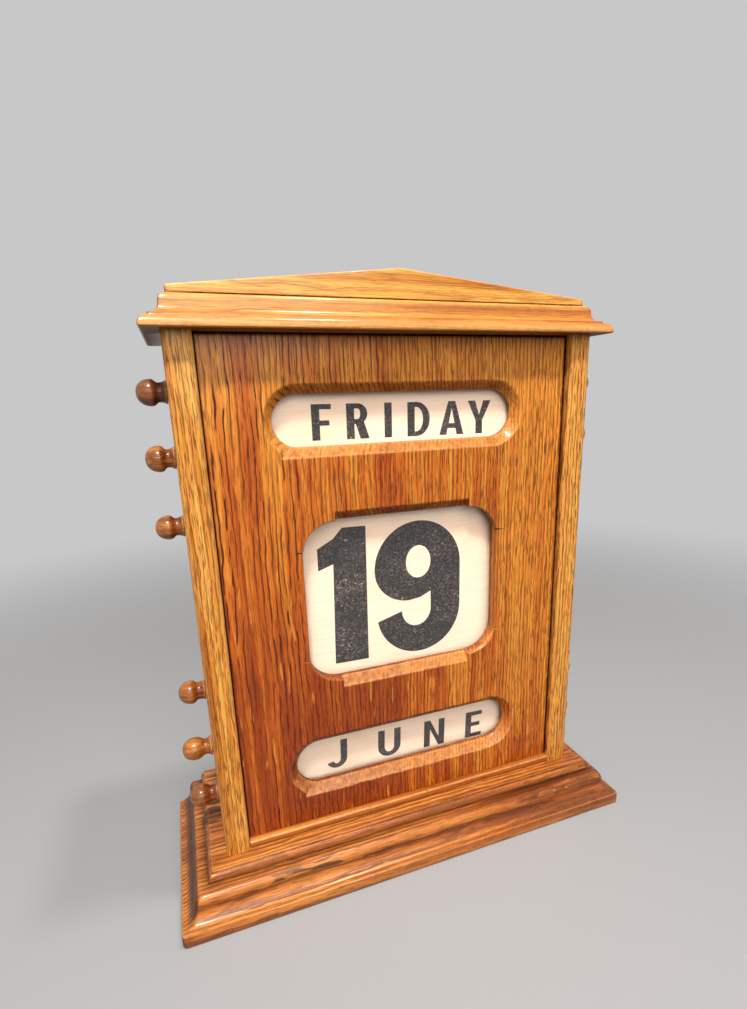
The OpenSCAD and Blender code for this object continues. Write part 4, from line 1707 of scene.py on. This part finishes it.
@dataclass
class Knobs:
    """The twelve turned knobs, two on each roller. Sizes are in millimetres."""

    workshop: Workshop
    collar: float = 10.8
    socket: float = 6.1
    socket_depth: float = 6.05
    dome: float = 6.5
    neck: float = 4.5
    sides: int = 56
    shapes: Mapping[tuple[Blind, End, Side], KnobShape] = field(
        default_factory=lambda: {
            (Blind.DAY, End.UPPER, Side.LEFT): KnobShape(12.5, 0.0, 9.1, 0.012, "knob_dark_oak"),
            # These two knobs take the paler copy: painted light over their shade.
            (Blind.DAY, End.LOWER, Side.LEFT): KnobShape(12.8, 0.0, 8.7, 0.008, "knob_honey_oak"),
            (Blind.DATE, End.UPPER, Side.LEFT): KnobShape(12.3, 0.3, 8.9, 0.014, "knob_honey_oak"),
            (Blind.DATE, End.LOWER, Side.LEFT): KnobShape(12.8, 0.0, 9.3, 0.006),
            (Blind.MONTH, End.UPPER, Side.LEFT): KnobShape(12.5, 0.0, 8.6, 0.01),
            (Blind.MONTH, End.LOWER, Side.LEFT): KnobShape(12.5, 0.6, 9.0, 0.012),
        }
    )

    def profile(self, long: float, shape: KnobShape) -> Section:
        """The turned outline from the foot of the socket round to the tip.

        Args:
            long: the knob's length.
            shape: its own measurements.

        Returns:
            (distance from the collar's face, radius, tone mask: darker below 0, paler above).
        """
        big, waist, bore = shape.head / 2, shape.waist / 2, self.socket / 2
        rim = self.collar / 2
        widest = long - self.dome
        reach = (widest - self.neck) / math.sqrt(1 - ((waist + 0.12) / big) ** 2)
        # The socket of the journal and the collar, the waist, and the head with its dome; the mask darkens the socket,
        # the waist and the neck and pales the dome towards its tip
        line = [(self.socket_depth, 0.12, -0.6), (self.socket_depth, bore - 0.1, -0.6), (0.3, bore, -0.5)]
        line += [(0.0, bore + 0.25, 0.0), (0.0, rim - 0.35, 0.1), (0.1, rim - 0.1, 0.5)]
        line += [(0.35, rim, 0.6), (0.65, rim - 0.03, 0.5), (0.9, rim - 0.22, 0.15)]
        for t in (0.2, 0.4, 0.6, 0.8, 1.0):
            line.append((0.9 + 2.6 * t, waist + (rim - 0.22 - waist) * (1 - t) ** 2.2, -0.15 - 0.2 * t))
        line.append((4.1, waist + 0.01, -0.4))
        for n in range(1, 9):
            x = self.neck + (widest - self.neck) * n / 9
            line.append((x, big * math.sqrt(1 - ((widest - x) / reach) ** 2), -0.3 + 0.05 * n))
        for n in range(15):
            t = math.radians(90 * n / 14.35)
            line.append((widest + self.dome * math.sin(t), big * math.cos(t) ** 0.86, 0.12 + 0.015 * n))
        return line

    def build_one(self, blind: Blind, end: End, side: Side) -> None:
        """Turns one knob.

        Args:
            blind: whose knob it is.
            end: on which roller.
            side: on which end of it.
        """
        node = f"{blind.value}_{end.value}_{side.name.lower()}_knob"
        low, high = box_mm(node)
        shape = self.shapes.get((blind, end, side), KnobShape())
        long = high.x - low.x - shape.short
        face = low.x if side is Side.RIGHT else high.x
        middle = (low + high) / 2
        seed = middle.z * 0.37 + side.value
        shell, rings = Shell(), []
        for distance, radius, tone in self.profile(long, shape):
            ring = []
            for n in range(self.sides):
                t = 2 * math.pi * n / self.sides
                r = radius * (1 - shape.oval * (1 + math.cos(2 * t + seed)) / 2) if distance > 1.0 else radius
                ring.append((face + side.value * distance, middle.y + r * math.cos(t), middle.z + r * math.sin(t)))
            tones = [tone * (0.75 + 0.4 * wander(n * 0.2, seed, distance * 0.4)) for n in range(self.sides)]
            rings.append(shell.ring(ring, tones))
        shell.loft(rings)
        mesh = shell.mesh(node + "_turned", sharp_angle=40)
        place_piece(node + "_turned", mesh, self.workshop[shape.finish], f"{blind.value}_{end.value}", [node])

    def build(self) -> None:
        """Turns all twelve."""
        for blind in Blind:
            for end in End:
                for side in Side:
                    self.build_one(blind, end, side)


Loop = list[tuple[float, float]]


def arc(x: float, z: float, wide: float, tall: float, start: float, end: float, count: int = 14) -> Loop:
    """Points on an ellipse from one angle to another, in degrees, ends included."""
    turns = (math.radians(start + (end - start) * n / count) for n in range(count + 1))
    return [(x + wide * math.cos(t), z + tall * math.sin(t)) for t in turns]


@dataclass(frozen=True)
class BlockLetters:
    """Plain block capitals of one size, in millimetres, each as its outline and then its counters."""

    tall: float
    stem: float = 4.2
    bar: float = 2.6

    def letter(self, sign: str) -> tuple[float, list[Loop]]:
        """One capital.

        Args:
            sign: which.

        Returns:
            Its width and its loops, with its lower left corner at 0, 0.
        """
        h, s, b = self.tall, self.stem, self.bar
        mid = h * 0.5
        match sign:
            case "A":
                w = 0.82 * h

                def inner(z: float) -> float:
                    return 1.02 * s + (w / 2 - 1.02 * s) * z / (0.8 * h)

                low, high = 0.2 * h, 0.2 * h + b
                outline = [(0, 0), (1.02 * s, 0), (inner(low), low), (w - inner(low), low), (w - 1.02 * s, 0), (w, 0)]
                outline += [(w / 2 + 0.5 * s, h), (w / 2 - 0.5 * s, h)]
                return w, [outline, [(inner(high), high), (w - inner(high), high), (w / 2, 0.8 * h)]]
            case "D":
                w, bow = 0.72 * h, 0.44 * h
                outline = [(0, 0), *arc(w - bow, mid, bow, mid, -90, 90, 22), (0, h)]
                return w, [outline, [(s, b), *arc(w - bow, mid, bow - s * 0.95, mid - b, -90, 90, 22), (s, h - b)]]
            case "E":
                w = 0.6 * h
                low, high, tip = mid - b / 2, mid + b / 2, 0.88 * w
                outline = [(0, 0), (w, 0), (w, b), (s, b), (s, low), (tip, low), (tip, high), (s, high)]
                return w, [outline + [(s, h - b), (w, h - b), (w, h), (0, h)]]
            case "F":
                w, mid = 0.57 * h, 0.48 * h
                low, high, tip = mid - b / 2, mid + b / 2, 0.9 * w
                outline = [(0, 0), (s, 0), (s, low), (tip, low), (tip, high), (s, high)]
                return w, [outline + [(s, h - b), (w, h - b), (w, h), (0, h)]]
            case "I":
                return s, [[(0, 0), (s, 0), (s, h), (0, h)]]
            case "J":
                w, r = 0.66 * h, 0.33 * h
                inside = arc(w - r, r, r - s * 0.97, r - b, 0, -155, 18)
                outside = arc(w - r, r, r, r, -158, 0, 22)
                return w, [[(w, h), (w - s, h), *inside, *outside]]
            case "N":
                w = 0.74 * h
                outline = [(0, 0), (s, 0), (s, 0.66 * h), (w - s, 0), (w, 0)]
                return w, [outline + [(w, h), (w - s, h), (w - s, 0.34 * h), (s, h), (0, h)]]
            case "R":
                w, foot, r = 0.66 * h, 0.42 * h, 0.29 * h
                x, z = 0.94 * w - r, h - r
                outline = [(0, 0), (s, 0), (s, foot), (0.27 * h, foot), (0.405 * h, 0), (w + 0.015 * h, 0)]
                outline += [*arc(x, z, r, r, -50, 90, 16), (0, h)]
                return w, [outline, [(s, z - r + b), *arc(x, z, r - 0.9 * s, r - b, -90, 90, 14), (s, h - b)]]
            case "U":
                w, r = 0.74 * h, 0.37 * h
                outside = arc(w / 2, r, w / 2, r, 180, 360, 22)
                inside = arc(w / 2, r, w / 2 - s, r - b, 360, 180, 20)
                return w, [[(0, h), *outside, (w, h), (w - s, h), *inside, (s, h)]]
            case "Y":
                w, fork = 0.8 * h, 0.4 * h
                outline = [((w - s) / 2, 0), ((w + s) / 2, 0), ((w + s) / 2, fork), (w, h), (w - 1.1 * s, h)]
                return w, [outline + [(w / 2, 0.57 * h), (1.1 * s, h), (0, h), ((w - s) / 2, fork)]]
        raise ValueError(f"no capital drawn for {sign}")


def date_numeral() -> list[list[Loop]]:
    """The large date, 19, drawn in place on its blind in millimetres."""
    one = [(-40.7, 120.8), (-20.6, 120.3), (-19.5, 200.3), (-33.0, 200.6)]
    one += [(-38.5, 194.8), (-47.5, 190.0), (-47.6, 177.6), (-38.9, 180.6)]
    nine = [
        *arc(12.0, 172.4, 27.1, 27.5, 180, 0, 40),
        *arc(12.3, 146.0, 26.7, 27.2, 0, -171, 40),
        *arc(10.4, 146.2, 9.3, 10.4, 180, 360, 20),
        (19.7, 156.4),
        (13.0, 153.3),
        *arc(6.0, 172.4, 21.1, 20.0, 270, 182, 18),
    ]
    return [[one], [nine, arc(12.0, 175.5, 7.8, 9.8, 0, 351, 39)]]


@dataclass
class BlindCloth:
    """One printed blind: the flat cloth behind its window, what is wound on its rollers, and its lettering.

    Sizes are in millimetres. The print is a film that reaches from film_out in front of the cloth's face to
    film_in in front of it, in cells of film_cell at most. The tail is the cloth below the lower roller's axis, before
    it winds on.
    """

    blind: Blind
    workshop: Workshop
    turns: int
    print_places: Sequence[tuple[str, float, float]] = ()
    letters: BlockLetters | None = None
    baseline: tuple[float, float] = (0.0, 0.0)
    tilt: float = 0.0
    thickness: float = 0.2
    core: float = 5.0
    wave: float = 0.1
    tail: float = 0.0
    film_out: float = 0.045
    film_in: float = 0.005
    film_cell: float = 4.0
    columns: int = 72
    row_height: float = 2.2

    def __post_init__(self) -> None:
        """Takes the cloth's place from its CAD node."""
        self.low, self.high = box_mm(f"{self.blind.value}_web")
        self.low.z -= self.tail

    def front(self, x: float, z: float) -> float:
        """Where the cloth's front face lies, in Y, with its slight waviness."""
        share = (z - self.low.z) / (self.high.z - self.low.z)
        calm = min(1.0, 6.0 * share, 6.0 * (1 - share))
        ripple = 0.6 * math.sin(x * 0.075 + z * 0.012 + self.low.z) + 0.4 * math.sin(x * 0.031 - z * 0.05)
        under = max(0.0, 1 - (z - self.low.z) / self.tail) if self.tail else 0.0
        return self.low.y + 0.02 + self.wave * calm * (1 + ripple) / 2 + 0.22 * self.tail * under**2

    def build_web(self) -> Object:
        """Builds the flat stretch as one thin closed sheet.

        Returns:
            The piece.
        """
        shell = Shell()
        across, up = self.columns, max(12, round((self.high.z - self.low.z) / self.row_height))
        faces: list[list[list[int]]] = []
        xs = [self.low.x + (self.high.x - self.low.x) * n / across for n in range(across + 1)]
        zs = [self.low.z + (self.high.z - self.low.z) * m / up for m in range(up + 1)]
        for depth in (0.0, self.thickness):
            faces.append([shell.ring([(x, self.front(x, z) + depth, z) for x in xs]) for z in zs])
        for rows, flip in ((faces[0], False), (faces[1], True)):
            for first, second in zip(rows, rows[1:]):
                shell.bridge(*((first, second) if not flip else (second, first)))
        rims = [[[r[0] for r in f], f[-1], [r[-1] for r in reversed(f)], list(reversed(f[0]))] for f in faces]
        for rim, mate in zip(*rims):
            shell.bridge(rim, mate)
        name, node = f"{self.blind.value}_cloth_flat", f"{self.blind.value}_web"
        return place_piece(name, shell.mesh(name), self.workshop["blind_cloth"], nodes=[node])

    def on_line(self, along: float, up: float) -> tuple[float, float]:
        """The x and z of a point so far along and above the tilted line of the lettering."""
        turn, (x, z) = math.radians(self.tilt), self.baseline
        return x + along * math.cos(turn) - up * math.sin(turn), z + along * math.sin(turn) + up * math.cos(turn)

    def print_loops(self) -> list[list[Loop]]:
        """The outlines of everything printed, in place.

        Returns:
            One list of loops for each sign.
        """
        if self.letters is None:
            return date_numeral()
        placed = []
        for sign, left, right in self.print_places:
            width, loops = self.letters.letter(sign)
            stretch = (right - left) / width
            placed.append([[self.on_line(left + x * stretch, z) for x, z in loop] for loop in loops])
        return placed

    def build_print(self) -> Object:
        """Lays the printed signs on the cloth's front face as one thin film.

        Returns:
            The piece.
        """
        work = bmesh.new()
        for loops in self.print_loops():
            flat = [[Vector((x, z, 0.0)) for x, z in loop] for loop in loops]
            verts = [work.verts.new((x, 0.0, z)) for loop in loops for x, z in loop]
            for a, b, c in tessellate_polygon(flat):
                work.faces.new((verts[a], verts[b], verts[c]))
        low, high = self.low, self.high
        for axis, start, end in ((0, low.x, high.x), (2, low.z, high.z)):
            for n in range(1, int((end - start) / self.film_cell)):
                place, normal = [0.0, 0.0, 0.0], [0.0, 0.0, 0.0]
                place[axis], normal[axis] = start + n * self.film_cell, 1.0
                parts = [*work.verts, *work.edges, *work.faces]
                bmesh.ops.bisect_plane(work, geom=parts, dist=1e-5, plane_co=place, plane_no=normal)
        grown = bmesh.ops.extrude_face_region(work, geom=list(work.faces))
        backs = {v for v in grown["geom"] if isinstance(v, bmesh.types.BMVert)}
        for vert in work.verts:
            face = self.front(vert.co.x, vert.co.z)
            vert.co = Vector((vert.co.x, face - (self.film_in if vert in backs else self.film_out), vert.co.z)) * MM
        bmesh.ops.recalc_face_normals(work, faces=work.faces)
        name = f"{self.blind.value}_print"
        mesh = bpy.data.meshes.new(name)
        work.to_mesh(mesh)
        work.free()
        return place_piece(name, mesh, self.workshop["printed_ink"])

    def build_roll(self, end: End, tree: NodeTree) -> None:
        """Winds the rest of the cloth on one roller.

        Args:
            end: which roller.
            tree: the Geometry Nodes tree that winds it.
        """
        body = f"{self.blind.value}_{end.value}"
        node, name = body + "_roll", body + "_wound_cloth"
        low, high = box_mm(node)
        outer, inner = (high.z - low.z) / 2 - self.thickness / 2, self.core + self.thickness / 2
        values = {
            "Inner Radius": inner * MM,
            "Outer Radius": outer * MM,
            "Turns": float(self.turns),
            "Steps per Turn": 56,
            "Thickness": (self.thickness - 0.01) * MM,
            "Width": (high.x - low.x) * MM,
            "Winds Down": end is End.LOWER,
            "Middle": (low + high) / 2 * MM,
            "Finish": self.workshop["blind_cloth"],
        }
        mesh = grown_mesh(name, bpy.data.meshes.new(name + "_start"), tree, values, 50)
        piece = place_piece(name, mesh, self.workshop["blind_cloth"], body, [node])

    def build(self, tree: NodeTree) -> None:
        """Builds the cloth, its print, its rolls, and dresses the rollers and the glass.

        Args:
            tree: the Geometry Nodes tree that winds cloth.
        """
        web = self.build_web()
        ink = self.build_print()
        for end in End:
            self.build_roll(end, tree)
            dress_node(f"{self.blind.value}_{end.value}_roller", self.workshop["roller_beech"])
        dress_node(f"{self.blind.value}_glass", self.workshop["window_glass"])


# ---------------------------------------------------------------------------------------------------------------------
# The studio


@dataclass(frozen=True)
class Lamp:
    """One soft lamp: where it stands, in metres, its size and its power in watts."""

    name: str
    place: tuple[float, float, float]
    size: float
    power: float
    tint: tuple[float, float, float] = (1.0, 1.0, 1.0)


@dataclass
class Studio:
    """A pale floor, a pale world, the lamps, and the camera where the photograph was taken from.

    Places are in metres and the camera's angles in radians. The floor fades into the backdrop between the two
    distances of fade.
    """

    floor_half: float = 4.0
    floor_colour: str = "A6A6A7"
    bounce_colour: str = "5C5C5E"
    backdrop_colour: str = "C8C8C9"
    fill: float = 0.2
    fade: tuple[float, float] = (0.32, 1.0)
    target: tuple[float, float, float] = (0.0, -0.02, 0.15)
    lamps: Sequence[Lamp] = (
        Lamp("key_lamp", (-0.276, -0.657, 1.387), 0.14, 18.2, (1.0, 0.97, 0.93)),
        Lamp("overhead_lamp", (0.17, -0.12, 1.25), 0.1, 4.0, (1.0, 0.97, 0.93)),
        Lamp("front_softbox", (-0.1, -1.45, 1.0), 1.4, 16.0, (1.0, 0.985, 0.96)),
    )
    camera_place: tuple[float, float, float] = (-0.1098, -0.2918, 0.2678)
    yaw: float = 0.34991
    pitch: float = -0.26327
    roll: float = -0.03012
    focal_pixels: float = 545.146
    centre_pixels: tuple[float, float] = (385.858, 545.287)

    @staticmethod
    def seen(b: Bench) -> NodeSocket:
        """1 for what the camera sees, directly, by gloss or through glass, and 0 for light that a surface scatters."""
        path = b.add("ShaderNodeLightPath").outputs
        indirect = b.math("MAXIMUM", path["Is Glossy Ray"], path["Is Transmission Ray"])
        shown = b.math("MAXIMUM", path["Is Camera Ray"], indirect)
        return b.times(shown, b.math("LESS_THAN", path["Diffuse Depth"], 0.5))

    def build_floor(self) -> None:
        """Lays the floor."""
        mesh = bpy.data.meshes.new("studio_floor")
        half = self.floor_half
        mesh.from_pydata([(-half, -half, 0), (half, -half, 0), (half, half, 0), (-half, half, 0)], [], [(0, 1, 2, 3)])
        floor = new_object("studio_floor", mesh)
        material = bpy.data.materials.new("studio_floor")
        material.use_nodes = True
        b = Bench(material.node_tree)
        shader = material.node_tree.nodes["Principled BSDF"]
        seen = self.seen(b)
        b.feed(shader.inputs["Base Color"], b.mix(seen, colour(self.bounce_colour), colour(self.floor_colour)))
        shader.inputs["Roughness"].default_value = 0.75
        place = b.add("ShaderNodeNewGeometry").outputs["Position"]
        away = b.add("ShaderNodeVectorMath", {0: place}, operation="LENGTH").outputs["Value"]
        far = b.times(b.step(away, *self.fade), seen)
        backdrop = b.add("ShaderNodeEmission", {"Color": colour(self.backdrop_colour), "Strength": 1.0})
        both = b.add("ShaderNodeMixShader", {0: far, 1: shader.outputs[0], 2: backdrop.outputs[0]})
        b.feed(material.node_tree.nodes["Material Output"].inputs["Surface"], both.outputs[0])
        mesh.materials.append(material)

    def build_world(self) -> None:
        """Sets the world: soft fill for the object, a pale backdrop for what the camera sees."""
        world = bpy.data.worlds.new("studio_world")
        bpy.context.scene.world = world
        world.use_nodes = True
        world.node_tree.nodes.clear()
        b = Bench(world.node_tree)
        fill = b.add("ShaderNodeBackground", {"Color": (1.0, 1.0, 1.0, 1.0), "Strength": self.fill})
        backdrop = b.add("ShaderNodeBackground", {"Color": colour(self.backdrop_colour), "Strength": 1.0})
        both = b.add("ShaderNodeMixShader", {0: self.seen(b), 1: fill.outputs[0], 2: backdrop.outputs[0]})
        b.add("ShaderNodeOutputWorld", {"Surface": both.outputs[0]})

    def build_lamps(self) -> None:
        """Hangs the lamps, each facing the calendar."""
        for lamp in self.lamps:
            data = bpy.data.lights.new(lamp.name, "AREA")
            data.shape = "DISK"
            data.size, data.energy, data.color = lamp.size, lamp.power, lamp.tint
            light = new_object(lamp.name, data)
            light.location = lamp.place
            light.rotation_mode = "QUATERNION"
            light.rotation_quaternion = (Vector(self.target) - Vector(lamp.place)).to_track_quat("-Z", "Y")

    def build_camera(self) -> None:
        """Sets the camera up at the photograph's place and angle."""
        data = bpy.data.cameras.new("photo_camera")
        long_side = max(IMAGE_WIDTH, IMAGE_HEIGHT)
        data.sensor_width = 36.0
        data.lens = self.focal_pixels / long_side * data.sensor_width
        data.shift_x = (IMAGE_WIDTH / 2 - self.centre_pixels[0]) / long_side
        data.shift_y = (self.centre_pixels[1] - IMAGE_HEIGHT / 2) / long_side
        data.clip_start = 0.01
        level = math.cos(self.pitch)
        ahead = Vector((math.sin(self.yaw) * level, math.cos(self.yaw) * level, math.sin(self.pitch)))
        right = Vector((math.cos(self.yaw), -math.sin(self.yaw), 0.0))
        up = right.cross(ahead)
        level, rise = math.cos(self.roll), math.sin(self.roll)
        turned_right, turned_up = right * level + up * rise, up * level - right * rise
        camera = new_object("photo_camera", data)
        facing = Matrix((turned_right, turned_up, -ahead)).transposed().to_4x4()
        camera.matrix_world = Matrix.Translation(self.camera_place) @ facing
        bpy.context.scene.camera = camera

    def build(self) -> None:
        """Builds all of it."""
        bpy.context.scene.view_settings.view_transform = "Standard"
        self.build_floor()
        self.build_world()
        self.build_lamps()
        self.build_camera()


def main() -> None:
    """Builds the studio and the calendar, one part after another."""
    logging.basicConfig(level=logging.INFO, format="%(name)s: %(message)s", force=True)
    Studio().build()
    workshop = Workshop()
    case = Case(workshop)
    openings = [
        Opening(Blind.DAY, ragged=0.2, overrun=11.0),
        Opening(
            Blind.DATE,
            radius=18.0,
            nicks=((8.9, 6.1), (171.1, 4.3), (191.2, 5.0), (345.2, 7.8)),
            chips=(279.0, 348.0),
        ),
        Opening(Blind.MONTH, ragged=0.55, overrun=11.0),
    ]
    case.build(openings)
    Fixings(workshop, case).build()
    Knobs(workshop).build()
    winding = wound_cloth_tree()
    # Each letter with the places of its left and right edges, in millimetres along the line
    day = (("F", 0.0, 10.4), ("R", 18.4, 30.6), ("I", 39.4, 43.6))
    day += (("D", 52.6, 65.8), ("A", 71.6, 86.6), ("Y", 89.0, 103.5))
    month = (("J", 0.0, 13.0), ("U", 33.0, 48.0), ("N", 64.2, 78.6), ("E", 94.0, 106.0))
    blinds = [
        BlindCloth(Blind.DAY, workshop, 2, day, BlockLetters(18.1), (-46.5, 247.9), -0.5),
        BlindCloth(Blind.DATE, workshop, 15, tail=2.0),
        BlindCloth(Blind.MONTH, workshop, 3, month, BlockLetters(18.6, 4.0, 2.9), (-50.0, 51.9), -2.0, tail=5.5),
    ]
    for blind in blinds:
        blind.build(winding)


if __name__ == "__main__":
    main()
